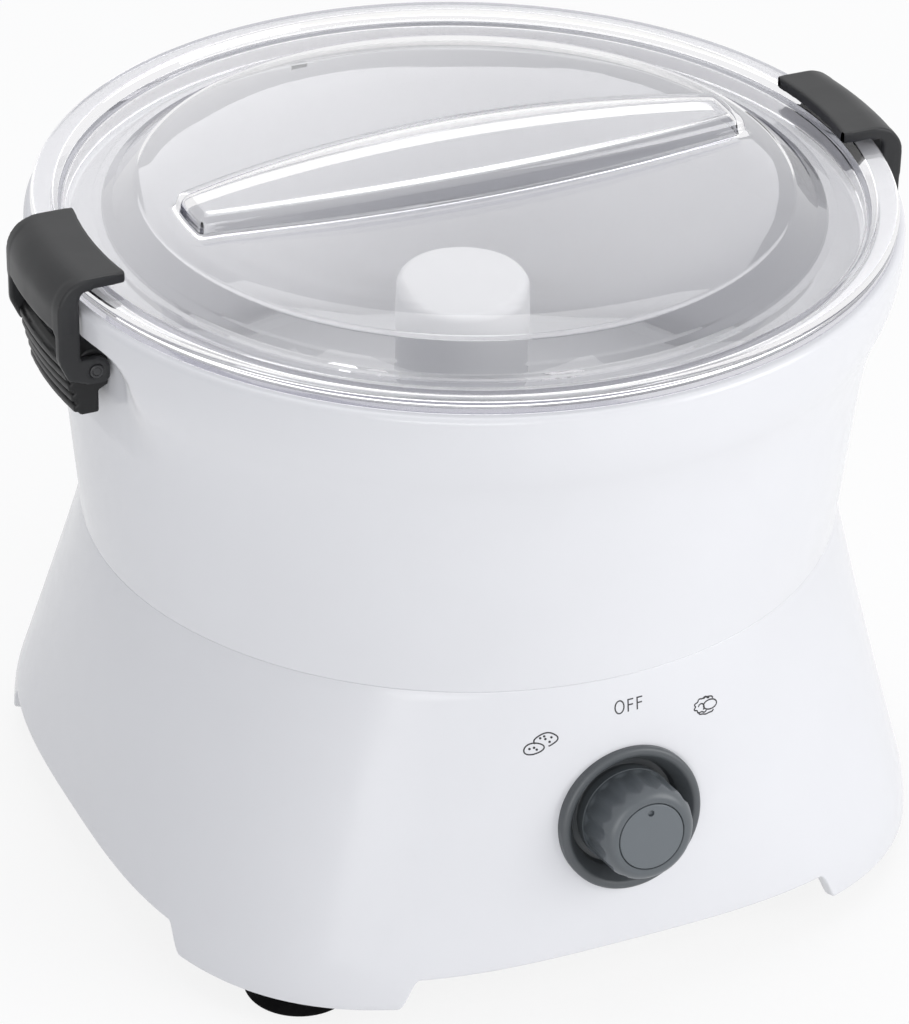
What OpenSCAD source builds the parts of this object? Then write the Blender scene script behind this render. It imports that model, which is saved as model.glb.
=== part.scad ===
// Electric potato peeler: square-footed motor base, lift-out bowl with a turning
// peeling disc, clear lid with a raised grip, and two side latches.
// Millimetres. +Z is up, the knob faces -Y, the latches stand at +X and -X,
// and the origin is on the ground under the drive shaft.

/* [Base] */
// Half width of the base at its foot, measured along X or Y
base_half_w = 125.8; // [122:0.2:132]
// Squareness of the foot's outline: 2 is a circle, larger is squarer
base_squareness = 3.1; // [2.4:0.1:4]
// Height of the seam between base and bowl above the ground
seam_z = 101.5; // [98:0.5:106]
// Diameter of the base at the seam
seam_d = 225.8; // [222:0.2:230]
// Wall thickness of the base housing
base_wall = 3; // [2.4:0.1:4]
// Gap between the ground and the skirt at the corners
skirt_clear = 8.75; // [7:0.25:10]
// How much higher the skirt's edge is between the corners
skirt_notch_rise = 9.2; // [4:0.1:11]
// Distance of each foot's centre in from the skirt, along X and Y
foot_inset = 38.8; // [36:0.2:44]
// Radius of a suction foot at the ground
foot_r = 16.3; // [14:0.1:18]

/* [Bowl] */
// Height from the seam to the bowl's top edge
bowl_h = 95.5; // [90:0.5:100]
// Wall thickness of the bowl
bowl_wall = 3.2; // [2.6:0.1:4]
// How far the bowl's rim stands out past the lid
rim_overhang = 2; // [1:0.25:3]
// Radius of the rim's outward curve, seen in section
flare_r = 45.8; // [40:0.2:50]
// Height of the rim's outward curve below the widest point
flare_h = 26; // [22:0.5:28]

/* [Lid] */
// Outer diameter of the lid
lid_d = 250; // [246:0.5:253]
// Wall thickness of the lid
lid_wall = 2.4; // [2:0.1:2.8]
// Height of the lid's outer edge
lid_edge_h = 5.2; // [4.5:0.1:6]
// Depth of the lid's locating ring inside the bowl's mouth
spigot_depth = 5.8; // [5:0.1:6]
// Distance from the lid's edge in to the foot of its raised middle
plateau_inset = 20.5; // [19:0.5:24]
// Width of the slope up to the raised middle
plateau_slope_w = 9.5; // [7:0.5:12]
// Height of the plateau's edge above the lid's outer ring
plateau_h = 8; // [5:0.5:10]
// Distance from the plateau's edge in to the ends of the grip
grip_inset = 9; // [5:0.5:15]
// Half width of the grip at its middle
grip_half_w = 19.5; // [16:0.5:22]
// Half width of the grip at its ends
grip_end_w = 9.5; // [7:0.5:12]
// Height of the grip above the plateau's edge
grip_h = 11; // [9:0.5:13]

/* [Latches] */
// Width of a latch
latch_w = 43; // [38:0.5:46]
// Distance from the bowl's axis to the latch's inner edge
latch_tip_r = 114; // [111:0.5:116]
// Thickness of the latch's top plate
latch_plate_t = 3.6; // [3:0.1:4.4]
// Thickness of the latch's front and side walls
latch_wall = 3; // [2.6:0.1:3.4]
// Radius of the latch pins
latch_pin_r = 2.05; // [1.8:0.05:2.3]
// Number of grip ribs on each latch bracket
rib_count = 5; // [4:1:6]

/* [Knob] */
// Diameter of the knob
knob_d = 29.3; // [27:0.1:32]
// How far the knob's face stands out from the panel
knob_proud = 14.4; // [12:0.2:17]
// Outer diameter of the knob's bezel
bezel_d = 44; // [42:0.5:47]
// Height of the knob's centre above the ground
knob_z = 57.6; // [52:0.2:62]
// Number of shallow waves round the knob
knob_waves = 13; // [9:1:16]

/* [Drive] */
// Radius of the drive shaft
shaft_r = 4; // [3.5:0.1:4.4]
// Height of the disc's hub above the ground
hub_top_z = 171; // [166:0.5:175]
// Radius of the disc's hub
hub_r = 19.6; // [18:0.1:22]
// Gap between the peeling disc's edge and the bowl's wall
disc_gap = 4.6; // [4.2:0.2:8]
// Teeth of the output gear on the drive shaft
output_teeth = 64; // [60:4:68]
// Teeth of the small gear of the lay shaft
lay_small_teeth = 16; // [14:1:18]
// Teeth of the large gear of the lay shaft
lay_large_teeth = 56; // [52:1:60]
// Teeth of the motor's pinion
pinion_teeth = 14; // [12:1:16]
// Radius of the motor's can
motor_r = 21; // [18:0.5:24]
// Length of the motor's can
motor_l = 34; // [30:1:36]

/* [Hidden] */

$fn = 96;
eps = 0.01;
// Running gap between round faces that turn on each other
run_gap = 0.06;
// Gap between parts that are dropped into each other
drop_gap = 0.4;
// Gap between a curved part and the curved wall that it is fixed to
seat_gap = 0.1;

// Base outline
seam_r = seam_d / 2;
foot_offset = base_half_w - foot_inset;
// The feet stand a little closer together from front to back
foot_y = foot_offset - 2;
// Share of the height over which the foot turns upright
foot_round = 0.15;
notch_half_a = 29.6;
notch_blend_a = 2.4;
edge_chamfer = 0.4;
lip_t = 2.5;
lip_r = seam_r - 7.4;
deck_t = 3;
deck_floor_z = seam_z - 5;
deck_bottom_z = deck_floor_z - deck_t;
deck_r = seam_r - base_wall - 1;
deck_rim_t = deck_r - lip_r;

// Bowl
bowl_top_z = seam_z + bowl_h;
lid_r = lid_d / 2;
flange_r = lid_r + rim_overhang;
flange_mid_z = bowl_top_z - 5;
flare_z = flange_mid_z - flare_h;
wall_top_r = flange_r - flare_r + sqrt(flare_r * flare_r - flare_h * flare_h);
bowl_floor_z = seam_z - 4.5;
bowl_floor_t = 3.2;
bowl_inside_z = seam_z + 2;
floor_under_z = bowl_inside_z - bowl_floor_t;
floor_fillet = 8;
bore_r = wall_top_r - bowl_wall - 0.5;
mouth_r = lid_r - 5.8;
mouth_z = bowl_top_z - 6.5;
spigot_seat_r = lip_r - drop_gap;
notch_half_w = latch_w / 2 + 2.5;
notch_floor_r = wall_top_r - 1;
notch_top_z = bowl_top_z - 8;
// Under the rim the notch is wider, so that the ends of the latch's pin stand clear
notch_wide_w = notch_half_w + 3.5;
notch_low_z = flare_z - 20;
notch_step_z = bowl_top_z - 12;
vent_w = 5.5;
vent_h = 2.3;
vent_z = bowl_top_z - 9;
chimney_r = 13;
chimney_bore_r = 9.6;
chimney_top_z = hub_top_z - 21.5;
seal_h = 5;

function wall_r(z) = seam_r + (z - seam_z) * (wall_top_r - seam_r) / (flare_z - seam_z);

// The wall runs into the rim's curve over these heights
blend_z0 = flare_z - 26;
blend_z1 = flare_z + 8;
wall_slope = (wall_top_r - seam_r) / (flare_z - seam_z);
function flare_r_at(z) = flange_r - flare_r + sqrt(flare_r * flare_r - pow(flange_mid_z - z, 2));
flare_slope = (flange_mid_z - blend_z1) / sqrt(flare_r * flare_r - pow(flange_mid_z - blend_z1, 2));
function blend_r(z) = let (l = blend_z1 - blend_z0, t = (z - blend_z0) / l)
    (2 * pow(t, 3) - 3 * t * t + 1) * wall_r(blend_z0) + (pow(t, 3) - 2 * t * t + t) * l * wall_slope
    + (3 * t * t - 2 * pow(t, 3)) * flare_r_at(blend_z1) + (pow(t, 3) - t * t) * l * flare_slope;

// Lid
plateau_foot_r = lid_r - plateau_inset;
plateau_r = plateau_foot_r - plateau_slope_w;
lid_edge_z = bowl_top_z + 0.3;
lid_top_z = lid_edge_z + lid_edge_h;
spigot_r = mouth_r - 0.5;
ring_z = lid_top_z - 3;
plateau_z = ring_z - 2.5 + plateau_h;
grip_top_z = plateau_z + grip_h;
grip_drop = 3.5;
grip_half_l = plateau_r - grip_inset;
crown_r = plateau_r - 13;
crown_z = plateau_z + 2.5;
lid_middle_z = crown_z + 1;

// Latches
latch_half_w = latch_w / 2;
hook_gap = 0.9;
hook_low_z = lid_top_z + hook_gap;
hook_top_z = hook_low_z + latch_plate_t;
hook_face_r = flange_r + 7;
hook_band_z = notch_top_z + 1.5;
hook_roll = 10;
pin_x = notch_floor_r + 3.5;
pin_z = bowl_top_z - 19.5;
ear_r = 4.1;
// The arm's lower edge rises outward, so that it clears the bowl when the latch is open
arm_low = [[2.6, 0.3 - ear_r], [8.1, 2.35 - ear_r]];
arm_in_x = flange_r - 1;
flange_flat_x = arm_in_x - 0.7;
bracket_back_r = notch_floor_r + seat_gap;
bracket_half_w = latch_half_w - latch_wall - 0.3;
bracket_low_z = pin_z - 14;
barrel_r = 5.6;
pin_bore_r = latch_pin_r + run_gap;

// Knob and panel
panel_tilt = atan((base_half_w - seam_r) / ((seam_z - skirt_clear) * (1 - foot_round / 2)));
panel_y = base_reach(knob_z);
bezel_r = bezel_d / 2;
knob_r = knob_d / 2;
bezel_lip = 2.2;
bezel_seat_u = -1.3;
bezel_floor_u = -3.6;
bezel_back_u = -6;
knob_low_u = bezel_floor_u + 0.6;
// The waves start above a plain collar
knob_collar_u = 6.2;
cap_r = knob_r * 0.67;
spindle_r = 3;
switch_bush_r = 4.5;
switch_w = 26;
switch_l = 15;

// Gears: 25 degree pressure angle, output pair module 1.25, motor pair module 1
pressure_a = 25;
module_out = 1.25;
module_in = 1;
tooth_play = 0.2;
lay_dist = (output_teeth + lay_small_teeth) * module_out / 2;
motor_dist = (lay_large_teeth + pinion_teeth) * module_in / 2;
motor_a = -20;
lay_pos = [0, lay_dist];
motor_pos = lay_pos + motor_dist * [cos(motor_a), sin(motor_a)];
plate_t = 3;
plate_low_z = 60;
plate_high_z = 84;
lay_gear_z = 66;
lay_gear_h = 6;
lay_pinion_h = 10;
output_gear_z = 73.5;
output_gear_h = 8;
pinion_h = 8;
lay_r = 3;
motor_shaft_r = 2;
output_r = output_teeth * module_out / 2 + module_out;
lay_gear_r = lay_large_teeth * module_in / 2 + module_in;
plate_x0 = -output_r - 12.75;
plate_x1 = output_r + 18.75;
plate_y0 = -output_r - 10.75;
plate_y1 = lay_dist + lay_gear_r + 15;
plate_edge = 8;
plate_corners = [[plate_x0 + plate_edge, plate_y0 + plate_edge], [plate_x1 - plate_edge - 6, plate_y0 + plate_edge],
    [plate_x0 + plate_edge + 6, plate_y1 - plate_edge], [plate_x1 - plate_edge, plate_y1 - plate_edge - 4]];
plate_screw_r = 1.9;
post_r = 5;
bush_flange_t = 1.5;

// Drive shaft's top and the hub over it
fillet_r = wall_r(bowl_inside_z + floor_fillet) - bowl_wall;
disc_r = fillet_r - disc_gap;
shaft_top_z = hub_top_z - 7;
flat_len = 10;
flat_half = shaft_r - 1;
shaft_low_z = plate_low_z + 0.5;
disc_low_z = bowl_inside_z + 2;
disc_t = 3;
disc_top_z = disc_low_z + disc_t;
hub_bore_r = chimney_r + 1.2;
socket_r = hub_bore_r - 2;
socket_low_z = chimney_top_z + 1.5;
ridge_count = 3;
blade_count = 3;
blade_x0 = hub_r + 12.4;
blade_x1 = disc_r - 6;
blade_w = 10;
blade_t = 0.8;
blade_tab = 9;
rivet_x = [blade_x0 + blade_tab / 2, blade_x1 - blade_tab / 2];
rivet_y = 9;
rivet_r = 1.45;

// Bottom cover and its fixings
cover_low_z = skirt_clear + skirt_notch_rise + 0.8;
cover_t = 2.5;
cover_top_z = cover_low_z + cover_t;
column_r = 5;
column_x = deck_r - 13.9;
column_y = deck_r - 8.9;
column_a = 28;
column_pos = [[-column_x, -column_a], [column_x, -column_a], [-column_x, column_a],
    [column_x, column_a], [-column_a, column_y], [column_a, column_y]];
screw_r = 1.7;
board_size = [52, 44, 1.6];
board_pos = [-column_x + column_r + 14, -board_size.y / 2];
board_gap = 6;
gland_z = 40;
gland_r = 7;
gland_seat_u = 0.15;
cord_r = 3.4;
// The bush reaches as far back as the knob reaches forward
gland_len = knob_proud + 1.25 + (panel_y - base_reach(gland_z)) / cos(panel_tilt);

// ---------------------------------------------------------------- helpers

// Half width of the outer base along an axis at a height
function base_weight(z) = let (u = max(0, (z - skirt_clear) / (seam_z - skirt_clear)))
    u < foot_round ? 1 - u * u / (2 * foot_round * (1 - foot_round / 2))
                   : (1 - u) / (1 - foot_round / 2);
function base_reach(z) = seam_r + (base_half_w - seam_r) * base_weight(z);

// Superellipse radius at a polar angle
function square_r(a) = base_half_w
    / pow(pow(abs(cos(a)), base_squareness) + pow(abs(sin(a)), base_squareness), 1 / base_squareness);
function base_r(a, z) = let (w = base_weight(z)) (1 - w) * seam_r + w * square_r(a);

// Angle from the nearest axis, 0 to 45 degrees
function axis_a(a) = abs(((a + 45) % 90) - 45);
function smooth(t) = let (k = max(0, min(1, t))) k * k * (3 - 2 * k);
function skirt_z(a) = skirt_clear
    + skirt_notch_rise * smooth((notch_half_a + notch_blend_a / 2 - axis_a(a)) / notch_blend_a);

// Angles of the outline's points over one quarter, closer together at the notch ends
quarter_a = concat([for (a = [0:5:25]) a], [for (k = [-2:2]) notch_half_a + k * notch_blend_a / 4],
    [for (a = [34.2:3.6:44]) a]);
outline_a = [for (q = [0:3]) for (a = concat(quarter_a, [45],
    [for (k = [len(quarter_a) - 1:-1:1]) 90 - quarter_a[k]])) q * 90 + a];

function ring(share, inset, top_z) = [for (a = outline_a)
    let (z = skirt_z(a) + share * (top_z - skirt_z(a)), r = base_r(a, z) - inset)
    [r * cos(a), r * sin(a), z]];
function circle_ring(r, z) = [for (a = outline_a) [r * cos(a), r * sin(a), z]];

// Closed skin through rings that come back to the first one
module ring_loop(rings) {
    n = len(rings[0]);
    m = len(rings);
    points = [for (r = rings) for (p = r) p];
    faces = [for (i = [0:m - 1]) for (j = [0:n - 1])
        let (a = i * n + j, b = i * n + (j + 1) % n, c = ((i + 1) % m) * n + j, d = ((i + 1) % m) * n + (j + 1) % n)
        each [[a, c, d], [a, d, b]]];
    polyhedron(points, faces, convexity = 6);
}

// Flat outline of the base at one height, drawn in by an inset
module base_outline(z, inset) {
    polygon([for (a = outline_a) let (r = base_r(a, z) - inset) [r * cos(a), r * sin(a)]]);
}

module tube(r_out, r_in, h) {
    difference() {
        cylinder(r = r_out, h = h);
        translate([0, 0, -1]) cylinder(r = r_in, h = h + 2);
    }
}

module rounded_plate(x0, y0, x1, y1, r, h) {
    translate([x0 + r, y0, 0]) cube([x1 - x0 - 2 * r, y1 - y0, h]);
    translate([x0, y0 + r, 0]) cube([x1 - x0, y1 - y0 - 2 * r, h]);
    for (x = [x0 + r, x1 - r]) for (y = [y0 + r, y1 - r]) translate([x, y, 0]) cylinder(r = r, h = h);
}

// Places children on the panel: their +Z points out of it at the knob's centre
module on_panel() {
    translate([0, -panel_y, knob_z]) rotate([90 - panel_tilt, 0, 0]) children();
}

// Places children on the back wall: their +Z points out of it at the cord's bush
module on_back() {
    translate([0, base_reach(gland_z), gland_z]) rotate([panel_tilt - 90, 0, 0]) children();
}

// Turns the right-hand latch into the left-hand one
module other_side(left) {
    if (left) mirror([1, 0, 0]) children();
    else children();
}

// Involute gear outline with its first tooth on +X
function inv_a(r, rb) = let (t = sqrt(max(0, pow(r / rb, 2) - 1))) t * 180 / PI - atan(t);
function polar(r, a) = [r * cos(a), r * sin(a)];
function gear_points(n, m) =
    let (rp = n * m / 2, rb = rp * cos(pressure_a), ra = rp + m, rr = rp - 1.25 * m, rs = max(rb, rr),
        half_a = 90 / n - tooth_play / (4 * rp) * 180 / PI + inv_a(rp, rb))
    [for (k = [0:n - 1]) let (c = 360 * k / n) each concat(
        rr < rb ? [polar(rr, c - half_a)] : [],
        [for (i = [0:4]) let (r = rs + (ra - rs) * i / 4) polar(r, c - half_a + inv_a(r, rb))],
        [for (i = [4:-1:0]) let (r = rs + (ra - rs) * i / 4) polar(r, c + half_a - inv_a(r, rb))],
        rr < rb ? [polar(rr, c + half_a)] : [])];
module gear(n, m, h) {
    linear_extrude(h) polygon(gear_points(n, m));
}

// Pan-head screw, head down, its shank going up
module screw_up(r, l) {
    head_h = r * 1.1;
    difference() {
        union() {
            cylinder(r = r, h = l);
            translate([0, 0, -head_h]) cylinder(r = 2 * r, h = head_h);
        }
        for (a = [0, 90]) rotate(a) translate([-r * 1.3, -0.35, -head_h - eps]) cube([r * 2.6, 0.7, head_h * 0.5]);
    }
}

// ---------------------------------------------------------------- base

module base_housing() color("white") {
    top_in = seam_z - lip_t;
    difference() {
        ring_loop(concat(
            [ring(0, 0.9, seam_z), ring(0.009, 0.2, seam_z), ring(0.022, 0, seam_z)],
            [for (s = [0.06, 0.1, 0.15, 0.35, 0.6, 0.82]) ring(s, 0, seam_z)],
            [circle_ring(seam_r, seam_z - edge_chamfer), circle_ring(seam_r - edge_chamfer, seam_z)],
            [circle_ring(lip_r, seam_z), circle_ring(lip_r, top_in)],
            [circle_ring(seam_r - base_wall, top_in)],
            [for (s = [0.75, 0.45, 0.15, 0.06]) ring(s, base_wall, seam_z)],
            [ring(0.02, base_wall, seam_z), ring(0, base_wall - 0.6, seam_z)]));
        on_panel() translate([0, 0, -15]) cylinder(r = bezel_r - 1, h = 30);
        on_panel() translate([0, 0, bezel_seat_u]) cylinder(r = bezel_r + 0.1, h = 10);
        on_back() translate([0, 0, -15]) cylinder(r = gland_r, h = 30);
    }
}

module deck() color("gainsboro") {
    difference() {
        union() {
            rotate_extrude() polygon([[shaft_r + 1.4, deck_bottom_z], [deck_r, deck_bottom_z],
                [deck_r, seam_z - lip_t], [deck_r - deck_rim_t, seam_z - lip_t], [deck_r - deck_rim_t, deck_floor_z],
                [chimney_bore_r - 1, deck_floor_z], [chimney_bore_r - 1, deck_floor_z + 8],
                [shaft_r + 1.4, deck_floor_z + 8]]);
            for (p = plate_corners) translate([p.x, p.y, plate_high_z + plate_t])
                cylinder(r = post_r, h = deck_bottom_z - plate_high_z - plate_t + eps);
            for (p = column_pos) translate([p.x, p.y, cover_top_z])
                cylinder(r = column_r, h = deck_bottom_z - cover_top_z + eps);
        }
        for (p = plate_corners) translate([p.x, p.y, plate_high_z + plate_t - 1])
            cylinder(r = plate_screw_r + 0.15, h = 7);
        for (p = column_pos) translate([p.x, p.y, cover_top_z - 1]) cylinder(r = screw_r + 0.15, h = 13);
        translate([0, 0, deck_bottom_z - 1]) cylinder(r = shaft_r + 3, h = 7 + deck_t);
    }
}

module bottom_cover() color("lightgray") {
    difference() {
        union() {
            translate([0, 0, cover_low_z]) linear_extrude(cover_t) base_outline(cover_top_z, base_wall + 0.6);
            for (x = [0, 1]) for (y = [0, 1])
                translate([board_pos.x + 4 + x * (board_size.x - 8), board_pos.y + 4 + y * (board_size.y - 8), cover_top_z - eps])
                    cylinder(r = 3, h = board_gap + eps);
        }
        for (p = column_pos) translate([p.x, p.y, cover_low_z - 1]) cylinder(r = screw_r + 0.3, h = cover_t + 2);
        for (x = [-1, 1]) for (y = [-1, 1]) translate([x * foot_offset, y * foot_y, cover_low_z - 1])
            cylinder(r = 4.2, h = cover_t + 2);
        for (x = [0, 1]) for (y = [0, 1])
            translate([board_pos.x + 4 + x * (board_size.x - 8), board_pos.y + 4 + y * (board_size.y - 8), cover_top_z + 1])
                cylinder(r = 1.4, h = board_gap);
        for (k = [-4:4]) translate([motor_pos.x + k * 5 - 1.2, motor_pos.y - 18, cover_low_z - 1]) cube([2.4, 36, cover_t + 2]);
    }
}

module cover_screws() color("silver") {
    for (p = column_pos) translate([p.x, p.y, cover_low_z]) screw_up(screw_r, 12);
}

module suction_foot(x, y) color("#151515") {
    translate([x * foot_offset, y * foot_y, 0]) rotate_extrude() polygon([[0, 4.5], [foot_r * 0.5, 3.6],
        [foot_r - 2.2, 0], [foot_r - 0.4, 0], [foot_r, 0.8], [foot_r - 1.4, 3.6], [foot_r - 4, 7], [foot_r - 7, 9],
        [foot_r - 8, cover_low_z], [4, cover_low_z], [4, cover_top_z], [6.2, cover_top_z], [5.2, cover_top_z + 3],
        [0, cover_top_z + 3]]);
}

module knob_bezel() color("#5d6266") {
    on_panel() difference() {
        union() {
            rotate_extrude() polygon(concat(
                [[switch_bush_r + 0.2, bezel_back_u], [bezel_r - 1.2, bezel_back_u],
                    [bezel_r - 1.2, bezel_seat_u + 0.1], [bezel_r, bezel_seat_u + 0.1], [bezel_r, bezel_lip - 1]],
                [for (a = [15:15:90]) [bezel_r - 1 + cos(a), bezel_lip - 1 + sin(a)]],
                [[bezel_r - 2.2, bezel_lip - 0.3], [bezel_r - 3.4, bezel_lip - 1.3], [knob_r + 1.2, bezel_floor_u + 0.8],
                    [knob_r + 0.6, bezel_floor_u], [switch_bush_r + 0.2, bezel_floor_u]]));
        }
    }
}

module rotary_switch() color("#2a2a2c") {
    on_panel() difference() {
        union() {
            translate([-switch_w / 2, -switch_w / 2, bezel_back_u - switch_l]) cube([switch_w, switch_w, switch_l]);
            translate([0, 0, bezel_back_u - eps]) cylinder(r = switch_bush_r, h = bezel_floor_u - bezel_back_u + 1.6);
            for (x = [-8, 0, 8]) translate([x - 1.5, -0.4, bezel_back_u - switch_l - 6]) cube([3, 0.8, 6 + eps]);
        }
        translate([0, 0, bezel_back_u - 8]) cylinder(r = spindle_r + run_gap, h = 20);
    }
}

module switch_nut() color("silver") {
    on_panel() translate([0, 0, bezel_floor_u]) difference() {
        cylinder(r = 7.2, h = 1.5, $fn = 6);
        translate([0, 0, -1]) cylinder(r = switch_bush_r + 0.08, h = 4);
    }
}

module motor() color("#8d9094") {
    translate([motor_pos.x, motor_pos.y, 0]) difference() {
        union() {
            rotate_extrude() polygon([[0, plate_low_z - motor_l], [motor_r - 1.5, plate_low_z - motor_l],
                [motor_r, plate_low_z - motor_l + 1.5], [motor_r, plate_low_z - 1.5], [motor_r - 1.5, plate_low_z],
                [0, plate_low_z]]);
            translate([0, 0, plate_low_z - motor_l - 2]) cylinder(r = 7, h = 2 + eps);
        }
        translate([0, 0, plate_low_z - motor_l + 4]) cylinder(r = motor_shaft_r + run_gap, h = motor_l);
        for (a = [0, 180]) rotate(a + 45) translate([14, 0, plate_low_z - 6]) cylinder(r = 1.65, h = 8);
        for (a = [0:60:300]) rotate(a + 15) translate([motor_r - 4, -3, plate_low_z - motor_l + 5]) cube([6, 6, 12]);
    }
}

module motor_screws() color("silver") {
    translate([motor_pos.x, motor_pos.y, plate_low_z + plate_t]) for (a = [0, 180]) rotate(a + 45)
        translate([14, 0, 0]) mirror([0, 0, 1]) screw_up(1.5, 7);
}

module gear_plate(z) {
    translate([0, 0, z]) rounded_plate(plate_x0, plate_y0, plate_x1, plate_y1, plate_edge, plate_t);
}

module gear_plate_lower() color("lightsteelblue") {
    difference() {
        gear_plate(plate_low_z);
        translate([0, 0, plate_low_z - 1]) cylinder(r = shaft_r + 2.1, h = plate_t + 2);
        translate([lay_pos.x, lay_pos.y, plate_low_z - 1]) cylinder(r = lay_r + 2.1, h = plate_t + 2);
        translate([motor_pos.x, motor_pos.y, plate_low_z - 1]) cylinder(r = 5, h = plate_t + 2);
        translate([motor_pos.x, motor_pos.y, plate_low_z - 1]) for (a = [0, 180]) rotate(a + 45)
            translate([14, 0, 0]) cylinder(r = 1.7, h = plate_t + 2);
        for (p = plate_corners) translate([p.x, p.y, plate_low_z - 1]) cylinder(r = plate_screw_r + 0.2, h = plate_t + 2);
    }
}

module gear_plate_upper() color("lightsteelblue") {
    difference() {
        gear_plate(plate_high_z);
        translate([0, 0, plate_high_z - 1]) cylinder(r = shaft_r + 2.1, h = plate_t + 2);
        translate([lay_pos.x, lay_pos.y, plate_high_z - 1]) cylinder(r = lay_r + 2.1, h = plate_t + 2);
        for (p = plate_corners) translate([p.x, p.y, plate_high_z - 1]) cylinder(r = plate_screw_r + 0.2, h = plate_t + 2);
    }
}

module gear_plate_spacers() color("gray") {
    for (p = plate_corners) translate([p.x, p.y, plate_low_z + plate_t])
        tube(4, plate_screw_r + 0.2, plate_high_z - plate_low_z - plate_t);
}

module gear_plate_screws() color("silver") {
    for (p = plate_corners) translate([p.x, p.y, plate_low_z])
        screw_up(plate_screw_r, plate_high_z + plate_t - plate_low_z + 5);
}

// Flanged plain bush, its flange at the bottom
module bush(r, h) {
    difference() {
        union() {
            cylinder(r = r + 2, h = h);
            cylinder(r = r + 4, h = bush_flange_t);
        }
        translate([0, 0, -1]) cylinder(r = r + run_gap, h = h + 2);
    }
}

module shaft_bush_lower() color("peru") {
    translate([0, 0, plate_low_z + plate_t + bush_flange_t]) mirror([0, 0, 1]) bush(shaft_r, plate_t + bush_flange_t);
}

module shaft_bush_upper() color("peru") {
    translate([0, 0, plate_high_z - bush_flange_t]) bush(shaft_r, plate_t + bush_flange_t);
}

module layshaft_bushes() color("peru") {
    translate([lay_pos.x, lay_pos.y, plate_low_z + plate_t + bush_flange_t])
        mirror([0, 0, 1]) bush(lay_r, plate_t + bush_flange_t);
    translate([lay_pos.x, lay_pos.y, plate_high_z - bush_flange_t]) bush(lay_r, plate_t + bush_flange_t);
}

module deck_seal() color("#333333") {
    translate([0, 0, deck_bottom_z]) tube(shaft_r + 2.9, shaft_r + run_gap, 8);
}

module control_board() color("seagreen") {
    z = cover_top_z + board_gap;
    difference() {
        union() {
            translate([board_pos.x, board_pos.y, z]) cube(board_size);
            translate([board_pos.x + 14, board_pos.y + 14, z + board_size.z - eps]) cylinder(r = 6, h = 20);
            translate([board_pos.x + 26, board_pos.y + 10, z + board_size.z - eps]) cube([18, 14, 12]);
            translate([board_pos.x + 12, board_pos.y + 30, z + board_size.z - eps]) cube([26, 8, 9]);
        }
        for (x = [0, 1]) for (y = [0, 1])
            translate([board_pos.x + 4 + x * (board_size.x - 8), board_pos.y + 4 + y * (board_size.y - 8), z - 1])
                cylinder(r = 1.6, h = board_size.z + 2);
    }
}

module board_screws() color("silver") {
    for (x = [0, 1]) for (y = [0, 1])
        translate([board_pos.x + 4 + x * (board_size.x - 8), board_pos.y + 4 + y * (board_size.y - 8),
            cover_top_z + board_gap + board_size.z]) mirror([0, 0, 1]) screw_up(1.25, 6);
}

module cord_gland() color("#e8e8e8") {
    on_back() rotate_extrude() polygon([[cord_r, -base_wall - 6], [gland_r - 0.6, -base_wall - 6],
        [gland_r - 0.6, -base_wall - 2], [gland_r - 0.1, -base_wall - 2], [gland_r - 0.1, gland_seat_u],
        [gland_r + 2, gland_seat_u], [gland_r + 2, gland_seat_u + 1.4], [gland_r + 1.4, gland_seat_u + 2],
        [gland_r - 1, gland_seat_u + 2], [cord_r + 1.6, gland_len - 0.6], [cord_r + 1, gland_len], [cord_r, gland_len]]);
}

// ---------------------------------------------------------------- knob

function wave_r(a) = knob_r - 0.35 + 0.35 * cos(knob_waves * a);

module control_knob() color("#5b6064") {
    on_panel() difference() {
        intersection() {
            union() {
                translate([0, 0, knob_collar_u - eps]) linear_extrude(knob_proud - knob_collar_u + eps)
                    polygon([for (a = [0:3:357]) polar(wave_r(a), a)]);
                translate([0, 0, knob_low_u]) cylinder(r = knob_r, h = knob_collar_u - knob_low_u);
            }
            rotate_extrude() polygon(concat([[0, knob_low_u], [knob_r + 1, knob_low_u], [knob_r + 0.2, knob_proud - 4]],
                [for (a = [0:15:90]) [knob_r - 2.4 + 2.4 * cos(a), knob_proud - 2.4 + 2.4 * sin(a)]], [[0, knob_proud]]));
        }
        translate([0, 0, knob_proud - 1.6]) cylinder(r = cap_r + 0.25, h = 2);
        translate([0, 0, knob_low_u - 1]) cylinder(r = 8.4, h = 5.2);
        translate([0, 0, knob_low_u - 1]) cylinder(r = spindle_r + 0.05, h = 13);
    }
}

module knob_cap() color("#676c70") {
    on_panel() difference() {
        translate([0, 0, knob_proud - 1.6]) cylinder(r = cap_r, h = 1.6);
        translate([0, cap_r * 0.72, knob_proud - 0.4]) cylinder(r = 0.9, h = 1);
    }
}

module switch_spindle() color("silver") {
    on_panel() translate([0, 0, bezel_back_u - 7.5]) cylinder(r = spindle_r, h = knob_low_u + 11.5 - bezel_back_u + 7.5);
}

// ---------------------------------------------------------------- drive

module main_shaft() color("silver") {
    difference() {
        translate([0, 0, shaft_low_z]) cylinder(r = shaft_r, h = shaft_top_z - shaft_low_z);
        for (s = [-1, 1]) translate([s > 0 ? flat_half : -shaft_r - 1, -shaft_r - 1, shaft_top_z - flat_len])
            cube([shaft_r + 1 - flat_half, 2 * shaft_r + 2, flat_len + 1]);
    }
}

module output_gear() color("ivory") {
    translate([0, 0, output_gear_z]) difference() {
        union() {
            gear(output_teeth, module_out, output_gear_h);
            translate([0, 0, -4]) cylinder(r = 10, h = 4 + eps);
        }
        translate([0, 0, -5]) cylinder(r = shaft_r + 0.02, h = output_gear_h + 6);
        for (a = [0:60:300]) rotate(a) translate([output_r * 0.54, 0, -1]) cylinder(r = output_r * 0.17, h = output_gear_h + 2);
    }
}

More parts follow.
